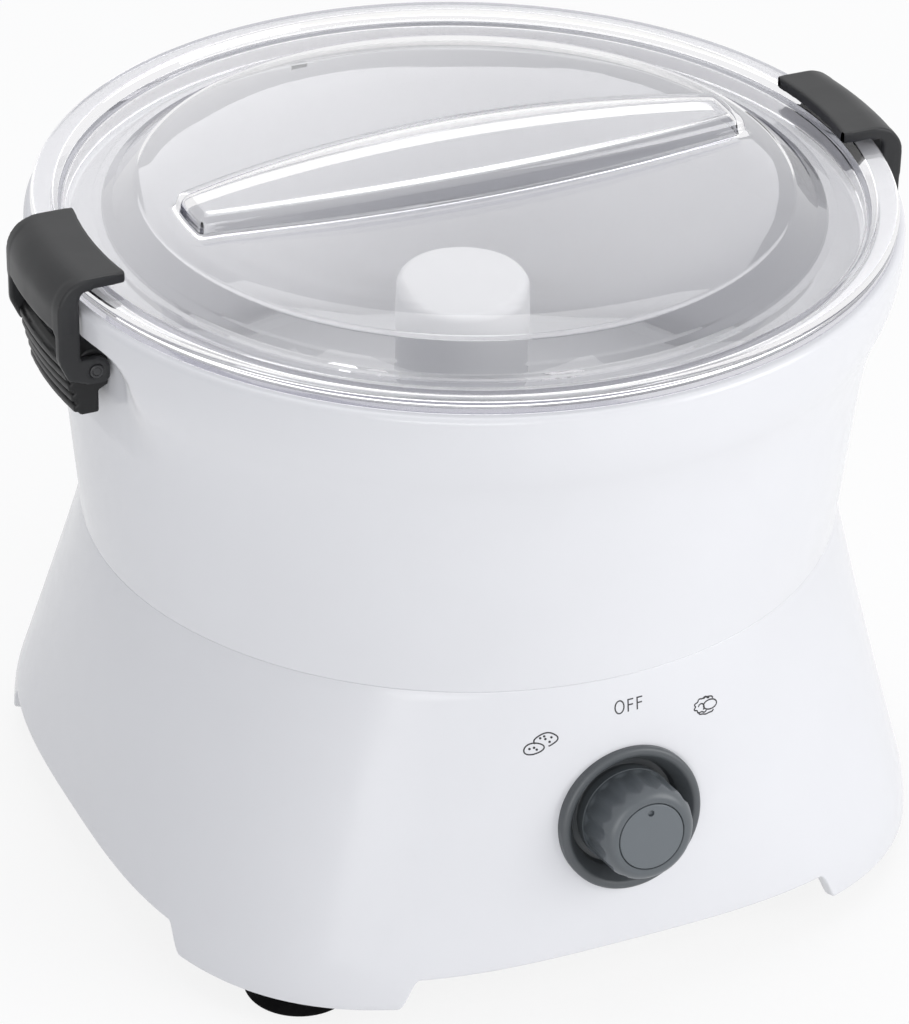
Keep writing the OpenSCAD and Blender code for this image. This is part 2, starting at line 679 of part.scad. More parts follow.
module shaft_collar() color("dimgray") {
    translate([0, 0, plate_low_z + plate_t + bush_flange_t + 0.2])
        tube(7, shaft_r + 0.02, output_gear_z - 4 - plate_low_z - plate_t - bush_flange_t - 0.4);
}

module lay_shaft() color("silver") {
    translate([lay_pos.x, lay_pos.y, plate_low_z + 0.5]) cylinder(r = lay_r, h = plate_high_z + plate_t - plate_low_z - 1);
}

module compound_gear() color("ivory") {
    translate([lay_pos.x, lay_pos.y, lay_gear_z]) difference() {
        union() {
            rotate(motor_a) gear(lay_large_teeth, module_in, lay_gear_h);
            translate([0, 0, lay_gear_h - eps]) rotate(270 + 180 / lay_small_teeth)
                gear(lay_small_teeth, module_out, lay_pinion_h);
        }
        translate([0, 0, -1]) cylinder(r = lay_r + 0.02, h = lay_gear_h + lay_pinion_h + 2);
        for (a = [0:60:300]) rotate(a + motor_a + 30) translate([lay_gear_r * 0.64, 0, -1])
            cylinder(r = lay_gear_r * 0.15, h = lay_gear_h + 2);
    }
}

module motor_shaft() color("silver") {
    translate([motor_pos.x, motor_pos.y, plate_low_z - motor_l + 5])
        cylinder(r = motor_shaft_r, h = motor_l - 5 + plate_t + pinion_h + 3);
}

module motor_pinion() color("goldenrod") {
    translate([motor_pos.x, motor_pos.y, lay_gear_z - 1]) difference() {
        rotate(motor_a + 180 + 180 / pinion_teeth) gear(pinion_teeth, module_in, pinion_h);
        translate([0, 0, -1]) cylinder(r = motor_shaft_r + 0.02, h = pinion_h + 2);
    }
}

// ---------------------------------------------------------------- bowl

module bowl_section() {
    polygon(concat(
        [[chimney_bore_r, bowl_floor_z], [chimney_r, bowl_floor_z], [chimney_r + 3, floor_under_z],
            [spigot_seat_r - 6, floor_under_z], [spigot_seat_r - 3.5, bowl_floor_z],
            [spigot_seat_r - 0.6, bowl_floor_z], [spigot_seat_r, bowl_floor_z + 0.6], [spigot_seat_r, seam_z],
            [seam_r - edge_chamfer, seam_z], [seam_r, seam_z + edge_chamfer]],
        [for (k = [0:7]) let (z = blend_z0 + (blend_z1 - blend_z0) * k / 8) [blend_r(z), z]],
        [for (k = [0:6]) let (z = blend_z1 + (flange_mid_z - blend_z1) * k / 6) [flare_r_at(z), z]],
        [[flange_r - 0.3, bowl_top_z - 2], [flange_r - 0.9, bowl_top_z - 0.8], [flange_r - 2, bowl_top_z],
            [mouth_r, bowl_top_z], [mouth_r, mouth_z], [bore_r, mouth_z], [bore_r, flare_z - 4]],
        [for (a = [0:15:90]) [fillet_r - floor_fillet + floor_fillet * cos(a),
            bowl_inside_z + floor_fillet - floor_fillet * sin(a)]],
        [[chimney_r + 3, bowl_inside_z], [chimney_r, bowl_inside_z + 3], [chimney_r, chimney_top_z - 1],
            [chimney_r - 1, chimney_top_z], [shaft_r + 1.5, chimney_top_z], [shaft_r + 1.5, chimney_top_z - 2.5],
            [chimney_bore_r, chimney_top_z - 2.5]]));
}

module bowl_shell() color("white") {
    difference() {
        rotate_extrude($fn = 180) bowl_section();
        for (s = [-1, 1]) {
            difference() {
                union() {
                    translate([s > 0 ? bore_r - 10 : -flange_r - 10, -notch_half_w, notch_low_z])
                        cube([flange_r + 20 - bore_r, 2 * notch_half_w, notch_top_z - notch_low_z]);
                    translate([0, 0, notch_low_z]) linear_extrude(notch_step_z - notch_low_z)
                        polygon([for (p = [[bore_r - 10, -notch_half_w], [notch_floor_r, -notch_wide_w],
                            [flange_r + 10, -notch_wide_w - 5], [flange_r + 10, notch_wide_w + 5],
                            [notch_floor_r, notch_wide_w], [bore_r - 10, notch_half_w]]) [s * p.x, p.y]]);
                }
                translate([0, 0, flare_z - 20]) cylinder(r = notch_floor_r, h = bowl_h, $fn = 180);
            }
            translate([s > 0 ? flange_flat_x : -flange_flat_x - 10, -notch_half_w, notch_top_z - 1])
                cube([10, 2 * notch_half_w, bowl_top_z - notch_top_z + 2]);
        }
        translate([-4 - vent_w / 2, mouth_r - 10, vent_z]) cube([vent_w, 30, vent_h]);
    }
}

module chimney_seal() color("#333333") {
    translate([0, 0, chimney_top_z - 2.5 - seal_h]) tube(chimney_bore_r - 0.03, shaft_r + run_gap, seal_h);
}

// ---------------------------------------------------------------- latches

// Radius of the bracket's ribbed face at a height
function grip_r(z) = hook_face_r - 2.6 - 4 * smooth((pin_z + 4 - z) / 18);

module bracket_section() {
    top = pin_z + barrel_r;
    rib_p = (top - 2 - bracket_low_z - 1) / rib_count;
    polygon(concat(
        [[bracket_back_r, top - 4], [bracket_back_r, bracket_low_z + 4], [bracket_back_r + 3, bracket_low_z],
            [grip_r(bracket_low_z) - 1.5, bracket_low_z]],
        [for (k = [0:rib_count - 1]) let (z = bracket_low_z + 1 + k * rib_p) each [
            [grip_r(z) - 1.2, z], [grip_r(z + rib_p * 0.55), z + 0.3], [grip_r(z + rib_p * 0.6), z + rib_p * 0.6],
            [grip_r(z + rib_p) - 1.2, z + rib_p * 0.7]]],
        [[grip_r(top) - 1.2, top - 2], [grip_r(top) - 3, top - 0.6], [bracket_back_r + 6.5, top - 3]]));
}

module latch_bracket(left) color("#3c3d40") other_side(left) difference() {
    union() {
        intersection() {
            rotate_extrude($fn = 180) bracket_section();
            translate([bracket_back_r - 10, -bracket_half_w, bracket_low_z - 1])
                cube([latch_w, 2 * bracket_half_w, pin_z + 2 * barrel_r - bracket_low_z]);
        }
        difference() {
            translate([pin_x, bracket_half_w, pin_z]) rotate([90, 0, 0]) cylinder(r = barrel_r, h = 2 * bracket_half_w);
            translate([0, 0, pin_z - 2 * barrel_r]) cylinder(r = bracket_back_r, h = 4 * barrel_r, $fn = 180);
        }
    }
    translate([pin_x, latch_w, pin_z]) rotate([90, 0, 0]) cylinder(r = pin_bore_r, h = 2 * latch_w);
}

module latch_pin(left) color("#4a4b4e") other_side(left)
    translate([pin_x, latch_half_w, pin_z]) rotate([90, 0, 0]) cylinder(r = latch_pin_r, h = latch_w);

module hook_section() {
    polygon(concat(
        [[latch_tip_r + 0.8, hook_low_z], [latch_tip_r, hook_low_z + 1], [latch_tip_r, hook_top_z - 1],
            [latch_tip_r + 1, hook_top_z]],
        [for (a = [90:-15:0]) [hook_face_r - hook_roll + hook_roll * cos(a), hook_top_z - hook_roll + hook_roll * sin(a)]],
        [[hook_face_r, hook_band_z + 1], [hook_face_r - 0.6, hook_band_z], [hook_face_r - latch_wall, hook_band_z],
            [hook_face_r - latch_wall, hook_low_z - 4.5], [hook_face_r - latch_wall - 4.5, hook_low_z]]));
}

// Outer envelope of the latch, that trims its arms to the rolled corner
module hook_envelope() {
    rotate_extrude($fn = 180) polygon(concat(
        [[hook_face_r - 2 * hook_roll, seam_z], [hook_face_r, seam_z]],
        [for (a = [0:15:90]) [hook_face_r - hook_roll + hook_roll * cos(a), hook_top_z - hook_roll + hook_roll * sin(a)]],
        [[hook_face_r - 2 * hook_roll, hook_top_z]]));
}

// Plan outline of the latch: rounded outside corners, chamfered inside ones
module hook_plan() {
    r = 2.6;
    polygon(concat(
        [[latch_tip_r - 8, -latch_half_w + 1.4], [latch_tip_r + 1.6, -latch_half_w]],
        [for (a = [-90:15:0]) [hook_face_r - r + r * cos(a), -latch_half_w + r + r * sin(a)]],
        [for (a = [0:15:90]) [hook_face_r - r + r * cos(a), latch_half_w - r + r * sin(a)]],
        [[latch_tip_r + 1.6, latch_half_w], [latch_tip_r - 8, latch_half_w - 1.4]]));
}

// Side view of an arm: from under the top plate down to the ear round the pin
module arm_side() {
    face_x = hook_face_r - 1.9;
    difference() {
        union() {
            polygon([[arm_in_x, hook_low_z + 0.5], [arm_in_x, pin_z + ear_r + 1.2], [arm_in_x - 1.2, pin_z + ear_r],
                [pin_x, pin_z + ear_r], [pin_x, pin_z - ear_r], [pin_x + arm_low[0].x, pin_z + arm_low[0].y],
                [pin_x + arm_low[1].x, pin_z + arm_low[1].y], [grip_r(pin_z + 3) + 0.3, pin_z + 3],
                [face_x, pin_z + 10],
                [face_x, hook_low_z - 2], [face_x - 2.5, hook_low_z + 0.5]]);
            translate([pin_x, pin_z]) circle(r = ear_r);
        }
    }
}

module latch_hook(left) color("#45474a") other_side(left) difference() {
    union() {
        intersection() {
            rotate_extrude($fn = 180) hook_section();
            translate([0, 0, hook_band_z - 1]) linear_extrude(latch_w) hook_plan();
        }
        intersection() {
            for (s = [0, 1]) translate([0, s ? latch_half_w : -latch_half_w + latch_wall, 0]) rotate([90, 0, 0])
                linear_extrude(latch_wall) arm_side();
            hook_envelope();
            translate([0, 0, seam_z]) linear_extrude(bowl_h + latch_w) hook_plan();
        }
    }
    translate([pin_x, latch_w, pin_z]) rotate([90, 0, 0]) cylinder(r = pin_bore_r, h = 2 * latch_w);
}

// ---------------------------------------------------------------- disc

module peeling_disc() color("whitesmoke") {
    difference() {
        union() {
            rotate_extrude($fn = 144) polygon([[hub_bore_r, disc_low_z], [disc_r - 1, disc_low_z], [disc_r, disc_low_z + 1],
                [disc_r, disc_top_z - 0.5], [disc_r - 1.5, disc_top_z + 1], [disc_r - 4, disc_top_z + 1],
                [disc_r - 6, disc_top_z], [hub_r + 5, disc_top_z], [hub_r + 1.4, disc_top_z + 1.4], [hub_r, disc_top_z + 5],
                [hub_r, hub_top_z - 2.5], [hub_r - 0.8, hub_top_z - 0.8], [hub_r - 2.5, hub_top_z], [0, hub_top_z],
                [0, shaft_top_z + 0.3], [socket_r, shaft_top_z + 0.3], [socket_r, socket_low_z], [hub_bore_r, socket_low_z]]);
            intersection() {
                translate([0, 0, disc_low_z + 1]) difference() {
                    cylinder(r = disc_r - 8, h = 12);
                    cylinder(r = hub_r + 4, h = 12);
                }
                for (k = [0:ridge_count - 1]) rotate(k * 360 / ridge_count)
                    translate([0, 0, disc_top_z - 10]) rotate([0, 90, 0]) cylinder(r = 14, h = disc_r);
            }
        }
        for (k = [0:blade_count - 1]) rotate(60 + k * 360 / blade_count) {
            translate([blade_x0 + blade_tab + 1, -3, disc_low_z - 1])
                cube([blade_x1 - blade_x0 - 2 * blade_tab - 2, 6, disc_t + 4]);
            for (x = rivet_x) translate([x, rivet_y, disc_low_z - 1]) cylinder(r = rivet_r + 0.1, h = disc_t + 4);
        }
    }
}

module peeling_blades() color("silver") {
    for (k = [0:blade_count - 1]) rotate(60 + k * 360 / blade_count) translate([0, 0, disc_top_z]) difference() {
        union() {
            translate([blade_x0, 2.5, 0]) cube([blade_x1 - blade_x0, blade_w, blade_t]);
            translate([blade_x0 + blade_tab, 3.5, 0.1]) rotate([-14, 0, 0]) translate([0, -9, 0])
                cube([blade_x1 - blade_x0 - 2 * blade_tab, 9, blade_t]);
        }
        for (x = rivet_x) translate([x, rivet_y, -1]) cylinder(r = rivet_r + 0.15, h = 3);
    }
}

module blade_rivets() color("gray") {
    for (k = [0:blade_count - 1]) rotate(60 + k * 360 / blade_count) for (x = rivet_x)
        translate([x, rivet_y, disc_low_z + 0.2]) {
            cylinder(r = rivet_r, h = disc_t + 0.6);
            translate([0, 0, disc_t + 0.6]) cylinder(r1 = 2 * rivet_r, r2 = 1.4 * rivet_r, h = 0.9);
        }
}

module hub_socket() color("dimgray") {
    translate([0, 0, socket_low_z]) difference() {
        cylinder(r = socket_r - 0.05, h = shaft_top_z + 0.3 - socket_low_z);
        translate([0, 0, -1]) intersection() {
            cylinder(r = shaft_r + 0.1, h = shaft_top_z - socket_low_z + 2);
            union() {
                translate([-flat_half - 0.1, -10, 0]) cube([2 * flat_half + 0.2, 20, 40]);
                cylinder(r = shaft_r + 0.1, h = shaft_top_z - flat_len - socket_low_z + 1.5);
            }
        }
    }
}

// ---------------------------------------------------------------- lid

// Upper face of the lid from its edge to its middle, drawn in by an inset
function lid_profile(t) = [
    [spigot_r - 0.2, lid_top_z - t], [spigot_r - 1.8, ring_z + 0.4 - t], [spigot_r - 3, ring_z - t],
    [plateau_foot_r + 3, ring_z - 1.6 - t], [plateau_foot_r, ring_z - 1.4 - t],
    [plateau_foot_r - 3, ring_z + 0.6 - t], [plateau_r + 2.5, plateau_z - 2 - t], [plateau_r, plateau_z - 0.3 - t],
    [plateau_r - 3, plateau_z + 0.4 - t], [crown_r, crown_z - t], [crown_r / 2, lid_middle_z - 0.3 - t],
    [0, lid_middle_z - t]];

module lid_section() {
    upper = lid_profile(0);
    lower = lid_profile(lid_wall);
    polygon(concat(
        [[spigot_r, lid_edge_z], [lid_r - 0.6, lid_edge_z], [lid_r, lid_edge_z + 0.8], [lid_r, lid_top_z - 1.6],
            [lid_r - 0.5, lid_top_z - 0.5], [lid_r - 1.6, lid_top_z]],
        upper,
        [for (k = [len(lower) - 1:-1:3]) lower[k]],
        [[spigot_r - lid_wall, ring_z - lid_wall - 0.3], [spigot_r - lid_wall, lid_edge_z - spigot_depth],
            [spigot_r - 0.6, lid_edge_z - spigot_depth], [spigot_r, lid_edge_z - spigot_depth + 0.8]]));
}

// Block with two arched sides, blunt ends and a domed top: where two large discs and one
// smaller domed disc overlap. end_w is its half width at the ends
module grip_block(half_l, half_w, end_w, low_z, top_z, end_drop, round_r) {
    dw = half_w - end_w;
    big_r = (half_l * half_l + dw * dw) / (2 * dw);
    intersection() {
        intersection_for (s = [-1, 1]) translate([0, s * (big_r - half_w), 0]) rotate_extrude($fn = 360)
            polygon(concat([[0, low_z], [big_r + 0.6, low_z]],
                [for (a = [0:15:90]) [big_r - round_r + round_r * cos(a), top_z - round_r + round_r * sin(a)]],
                [[0, top_z]]));
        rotate_extrude($fn = 144) polygon(concat([[0, low_z], [half_l + 0.6, low_z]],
            [for (a = [0:15:75]) [half_l - round_r + round_r * cos(a), top_z - end_drop - round_r + round_r * sin(a)]],
            [for (k = [3:-1:0]) [half_l * k / 4, top_z - end_drop * k * k / 16]]));
    }
}

module lid_shell() color("lightcyan", 0.5) {
    difference() {
        union() {
            rotate_extrude($fn = 180) lid_section();
            grip_block(grip_half_l, grip_half_w, grip_end_w, plateau_z - 0.5, grip_top_z, grip_drop, 3.5);
        }
        grip_block(grip_half_l - 3, grip_half_w - lid_wall, grip_end_w - lid_wall, plateau_z - 10,
            grip_top_z - lid_wall, grip_drop, 1.5);
    }
}

// ---------------------------------------------------------------- assembly

base_housing();
deck();
bottom_cover();
cover_screws();
suction_foot(-1, -1);  // foot_front_left
suction_foot(1, -1);  // foot_front_right
suction_foot(-1, 1);  // foot_rear_left
suction_foot(1, 1);  // foot_rear_right
knob_bezel();
rotary_switch();
switch_nut();
motor();
motor_screws();
gear_plate_lower();
gear_plate_upper();
gear_plate_spacers();
gear_plate_screws();
shaft_bush_lower();
shaft_bush_upper();
layshaft_bushes();
deck_seal();
control_board();
board_screws();
cord_gland();
control_knob();
knob_cap();
switch_spindle();
main_shaft();
output_gear();
shaft_collar();
lay_shaft();
compound_gear();
motor_shaft();
motor_pinion();
bowl_shell();
chimney_seal();
latch_bracket(true);  // latch_bracket_left
latch_bracket(false);  // latch_bracket_right
latch_pin(true);  // latch_pin_left
latch_pin(false);  // latch_pin_right
latch_hook(true);  // latch_hook_left
latch_hook(false);  // latch_hook_right
peeling_disc();
peeling_blades();
blade_rivets();
hub_socket();
lid_shell();
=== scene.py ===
import math

import bmesh
import bpy
import numpy as np
from bpy.props import FloatProperty, FloatVectorProperty, PointerProperty
from mathutils import Matrix, Vector


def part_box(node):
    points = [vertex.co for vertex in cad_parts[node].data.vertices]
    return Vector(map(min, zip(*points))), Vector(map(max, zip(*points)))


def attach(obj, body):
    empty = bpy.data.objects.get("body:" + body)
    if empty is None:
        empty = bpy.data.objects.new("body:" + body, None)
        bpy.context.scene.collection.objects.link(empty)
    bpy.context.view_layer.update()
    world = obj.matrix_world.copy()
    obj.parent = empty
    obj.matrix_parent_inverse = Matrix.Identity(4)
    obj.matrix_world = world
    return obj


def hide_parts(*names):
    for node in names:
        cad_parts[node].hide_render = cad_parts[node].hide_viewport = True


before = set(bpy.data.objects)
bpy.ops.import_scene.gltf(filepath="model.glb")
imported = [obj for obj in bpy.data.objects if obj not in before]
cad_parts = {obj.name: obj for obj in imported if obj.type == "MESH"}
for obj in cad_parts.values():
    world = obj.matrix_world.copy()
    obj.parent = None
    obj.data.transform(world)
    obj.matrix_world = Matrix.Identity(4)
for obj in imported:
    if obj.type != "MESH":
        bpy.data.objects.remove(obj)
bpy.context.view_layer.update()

bl_info = {
    "name": "Potato peeler",
    "version": (1, 0, 0),
    "blender": (4, 5, 0),
    "location": "3D View > Sidebar > Peeler",
    "description": "Dresses the jointed model of an electric potato peeler with its moulded skins and finishes",
    "category": "Object",
}

MM = 0.001

# Sizes of the housing, bowl, lid, latches and knob, in millimetres and degrees
SEAM_R, SEAM_Z, SKIRT_Z, SKIRT_RISE = 112.9, 101.5, 8.75, 9.2
HALF_W, SQUARENESS, FOOT_ROUND = 125.8, 3.1, 0.15
NOTCH_A, NOTCH_BLEND = 29.6, 2.4
WALL, LIP_R, LIP_T = 3.0, 105.5, 2.5
RIM_R, RIM_Z, BOWL_TOP = 127.0, 192.0, 197.0
FLARE_R, FLARE_Z, BLEND_LOW, BLEND_TOP = 45.8, 166.0, 140.0, 174.0
WALL_TOP_R, BORE_R, MOUTH_R, MOUTH_Z = 118.905, 115.205, 119.2, 190.5
NOTCH_HALF, NOTCH_R, NOTCH_TOP, RIM_FLAT = 24.0, 117.905, 189.0, 125.3
LID_R, LID_Z, LID_TOP, SPIGOT_R, LID_WALL = 125.0, 197.3, 202.5, 118.7, 2.4
LATCH_HALF, LATCH_WALL, LATCH_TIP, LATCH_FACE = 21.5, 3.0, 114.0, 134.0
LATCH_LOW, LATCH_TOP, LATCH_ROLL, BAND_Z = 203.4, 207.0, 10.0, 190.5
PIN_X, PIN_Z, PIN_R, PIN_BORE, EAR_R = 121.405, 177.5, 2.05, 2.1, 4.1
BRACKET_R, BRACKET_HALF, BRACKET_Z, BARREL_R = 118.005, 18.2, 162.6, 5.6
PANEL_TILT, PANEL_Y, KNOB_Z = 8.551, 119.501, 57.6
BEZEL_R, BEZEL_LIP, BEZEL_SEAT, BEZEL_FLOOR, BEZEL_BACK = 22.0, 2.2, -1.3, -3.6, -6.0
KNOB_R, KNOB_LOW, KNOB_PROUD, CAP_R = 14.65, -3.0, 14.4, 9.95
KNOB_COLLAR, KNOB_FRONT, KNOB_ROUND, KNOB_FLUTES = -0.4, 9.0, 3.6, 16
DISC_R, DISC_Z, DISC_TOP, HUB_R, HUB_TOP = 106.03, 105.5, 108.5, 19.6, 171.0
FOOT_R, FOOT_STEM = 16.3, 18.75
GRIP_TOP, GRIP_HALF, GRIP_STEPS, GRIP_END_STEPS, GRIP_FOOT = 216.0, 86.0, 104, 26, 0.25
LID_UPPER = [(0, 208.5), (25, 208.4), (50, 208.1), (72, 207.7), (84, 207.1), (90, 206.2), (93, 205.3)]
LID_JOIN = 91.0

# Spot that the lamps point at, in metres: the seam of base and bowl
LAMP_AIM = (0, 0, 0.1)


# ---------------------------------------------------------------- sizes and colours

class PeelerColours(bpy.types.PropertyGroup):
    """Colours of the moulded pieces"""
    body: FloatVectorProperty(
        name="Body white", description="Colour of the housing and bowl",
        subtype="COLOR", size=3, min=0, max=1, default=(0.76, 0.762, 0.785))
    latch: FloatVectorProperty(
        name="Latch grey", description="Colour of the latch hooks",
        subtype="COLOR", size=3, min=0, max=1, default=(0.023, 0.0235, 0.025))
    bezel: FloatVectorProperty(
        name="Bezel grey", description="Colour of the ring round the knob",
        subtype="COLOR", size=3, min=0, max=1, default=(0.085, 0.093, 0.1))
    knob: FloatVectorProperty(
        name="Knob grey", description="Colour of the knob and its cap",
        subtype="COLOR", size=3, min=0, max=1, default=(0.1, 0.112, 0.122))
    print_ink: FloatVectorProperty(
        name="Print", description="Colour of the marks on the panel",
        subtype="COLOR", size=3, min=0, max=1, default=(0.03, 0.03, 0.033))


class PeelerSizes(bpy.types.PropertyGroup):
    """Small shapes that the skins add to the solids"""
    flute_depth: FloatProperty(
        name="Flute depth", description="Depth of the shallow flutes round the knob",
        subtype="DISTANCE", unit="LENGTH", min=0, max=0.001, default=0.00065)
    edge_round: FloatProperty(
        name="Latch edge", description="Radius of the moulded edges of the latches",
        subtype="DISTANCE", unit="LENGTH", min=0.0003, max=0.0014, default=0.0009)
    mark_line: FloatProperty(
        name="Line width", description="Width of the printed lines on the panel",
        subtype="DISTANCE", unit="LENGTH", min=0.0002, max=0.001, default=0.00042)
    skin_cell: FloatProperty(
        name="Latch mesh", description="Length of the faces on the latch skins",
        subtype="DISTANCE", unit="LENGTH", min=0.0003, max=0.002, default=0.0006)


class PeelerStage(bpy.types.PropertyGroup):
    """Floor, lamps and lens"""
    floor_tone: FloatProperty(
        name="Floor tone", description="Paleness of the floor in the lamps' light",
        min=0, max=1, default=0.9)
    floor_glow: FloatProperty(
        name="Floor white", description="Share of plain white that the camera sees on the floor",
        subtype="FACTOR", min=0, max=1, default=0.85)
    key_power: FloatProperty(
        name="Main lamp", description="Power of the large lamp on the right",
        unit="POWER", min=0, max=500, default=20)
    fill_power: FloatProperty(
        name="Front lamp", description="Power of the low lamp in front",
        unit="POWER", min=0, max=500, default=10.5)
    top_power: FloatProperty(
        name="Top lamp", description="Power of the lamp overhead",
        unit="POWER", min=0, max=500, default=12.5)
    sky: FloatProperty(
        name="Room light", description="Strength of the even light from all sides",
        min=0, max=2, default=0.47)
    lens: FloatProperty(
        name="Lens", description="Focal length of the camera in millimetres",
        min=20, max=400, default=157.5)


# ---------------------------------------------------------------- finishes

def new_finish(name):
    """A material with its node tree and main shader"""
    material = bpy.data.materials.new(name)
    material.use_nodes = True
    return material, material.node_tree, material.node_tree.nodes["Principled BSDF"]


def grain(tree, size, detail=2.0, stretch=(1, 1, 1)):
    """Noise whose bumps are about size metres across, stretched along the axes"""
    place = tree.nodes.new("ShaderNodeTexCoord")
    mapping = tree.nodes.new("ShaderNodeMapping")
    mapping.inputs["Scale"].default_value = stretch
    noise = tree.nodes.new("ShaderNodeTexNoise")
    noise.inputs["Scale"].default_value = 1 / size
    noise.inputs["Detail"].default_value = detail
    tree.links.new(place.outputs["Object"], mapping.inputs["Vector"])
    tree.links.new(mapping.outputs["Vector"], noise.inputs["Vector"])
    return noise.outputs["Fac"]


def between(tree, value, low, high, start=0.3, end=0.7):
    """Spreads a value from start..end over low..high"""
    ramp = tree.nodes.new("ShaderNodeMapRange")
    ramp.inputs["From Min"].default_value = start
    ramp.inputs["From Max"].default_value = end
    ramp.inputs["To Min"].default_value = low
    ramp.inputs["To Max"].default_value = high
    tree.links.new(value, ramp.inputs["Value"])
    return ramp.outputs["Result"]


def blend_colours(tree, share, first, second):
    """Mixes two colours by a share"""
    mix = tree.nodes.new("ShaderNodeMix")
    mix.data_type = "RGBA"
    mix.inputs["A"].default_value = (*first, 1)
    mix.inputs["B"].default_value = (*second, 1)
    tree.links.new(share, mix.inputs["Factor"])
    return mix.outputs["Result"]


def relief(tree, shader, height, depth):
    """Gives a shader a fine relief of depth metres"""
    bump = tree.nodes.new("ShaderNodeBump")
    bump.inputs["Distance"].default_value = depth
    tree.links.new(height, bump.inputs["Height"])
    tree.links.new(bump.outputs["Normal"], shader.inputs["Normal"])


def uneven_gloss(tree, shader, value, middle, spread):
    """Lets the roughness wander by a spread round its middle"""
    rough = between(tree, value, middle - spread, middle + spread)
    tree.links.new(rough, shader.inputs["Roughness"])


def mix_shaders(tree, share, first, second):
    """Mixes two shaders by a share"""
    mix = tree.nodes.new("ShaderNodeMixShader")
    tree.links.new(share, mix.inputs["Fac"])
    tree.links.new(first, mix.inputs[1])
    tree.links.new(second, mix.inputs[2])
    return mix.outputs["Shader"]


def times(colour, share):
    """A colour made darker or paler"""
    return [c * share for c in colour]


def moulded_plastic(name, colour, gloss, skin, depth, mottle=0.04, specular=0.5):
    """Moulded plastic with an uneven tone and gloss and a fine skin"""
    material, tree, shader = new_finish(name)
    darker = times(colour, 1 - mottle)
    lighter = [min(1.0, c * (1 + mottle)) for c in colour]
    tone = blend_colours(tree, between(tree, grain(tree, 0.06, 3), 0, 1), darker, lighter)
    tree.links.new(tone, shader.inputs["Base Color"])
    uneven_gloss(tree, shader, grain(tree, 0.012, 3), gloss, 0.04)
    shader.inputs["Specular IOR Level"].default_value = specular
    relief(tree, shader, grain(tree, skin), depth)
    return material


def worked_metal(name, colour, gloss, stretch, depth=4e-6):
    """Metal with lines left by rolling, turning or grinding along one way"""
    material, tree, shader = new_finish(name)
    shader.inputs["Metallic"].default_value = 1.0
    lines = grain(tree, 0.0009, 3, stretch)
    tone = blend_colours(tree, between(tree, lines, 0, 1), times(colour, 0.86), colour)
    tree.links.new(tone, shader.inputs["Base Color"])
    uneven_gloss(tree, shader, lines, gloss, 0.08)
    relief(tree, shader, lines, depth)
    return material


def rubber(name, colour, gloss=0.62, dusty=0.012, specular=0.35):
    """Soft rubber with a dusty skin"""
    material, tree, shader = new_finish(name)
    dust = between(tree, grain(tree, 0.004, 4), 0, 1, 0.45, 0.75)
    tone = blend_colours(tree, dust, colour, [c + dusty for c in colour])
    tree.links.new(tone, shader.inputs["Base Color"])
    uneven_gloss(tree, shader, grain(tree, 0.002, 3), gloss, 0.1)
    shader.inputs["Specular IOR Level"].default_value = specular
    relief(tree, shader, grain(tree, 0.0004), 2e-5)
    return material


def circuit_board(name):
    """Green lacquered board with paler tracks under the lacquer"""
    material, tree, shader = new_finish(name)
    place = tree.nodes.new("ShaderNodeTexCoord")
    tracks = tree.nodes.new("ShaderNodeTexBrick")
    tracks.inputs["Scale"].default_value = 260
    tracks.inputs["Mortar Size"].default_value = 0.12
    tracks.inputs["Color1"].default_value = (0.012, 0.09, 0.035, 1)
    tracks.inputs["Color2"].default_value = (0.014, 0.11, 0.04, 1)
    tracks.inputs["Mortar"].default_value = (0.05, 0.22, 0.08, 1)
    tree.links.new(place.outputs["Object"], tracks.inputs["Vector"])
    tree.links.new(tracks.outputs["Color"], shader.inputs["Base Color"])
    uneven_gloss(tree, shader, grain(tree, 0.003), 0.3, 0.1)
    relief(tree, shader, tracks.outputs["Fac"], 2e-5)
    return material


def clear_plastic(name):
    """Clear moulded plastic that lets the lamps through, and rays that its edges would trap"""
    material, tree, shader = new_finish(name)
    shader.inputs["Base Color"].default_value = (1.0, 0.995, 0.985, 1)
    shader.inputs["Transmission Weight"].default_value = 1.0
    shader.inputs["IOR"].default_value = 1.49
    uneven_gloss(tree, shader, grain(tree, 0.02, 3), 0.015, 0.015)
    relief(tree, shader, grain(tree, 0.03, 1), 4e-5)
    path = tree.nodes.new("ShaderNodeLightPath")
    shown = shader.outputs["BSDF"]
    for rays, tint in (("Is Reflection Ray", (0.88, 0.88, 0.9)), ("Is Shadow Ray", (0.95, 0.948, 0.94))):
        clear = tree.nodes.new("ShaderNodeBsdfTransparent")
        clear.inputs["Color"].default_value = (*tint, 1)
        shown = mix_shaders(tree, path.outputs[rays], shown, clear.outputs["BSDF"])
    tree.links.new(shown, tree.nodes["Material Output"].inputs["Surface"])
    return material


FINISHES = {}


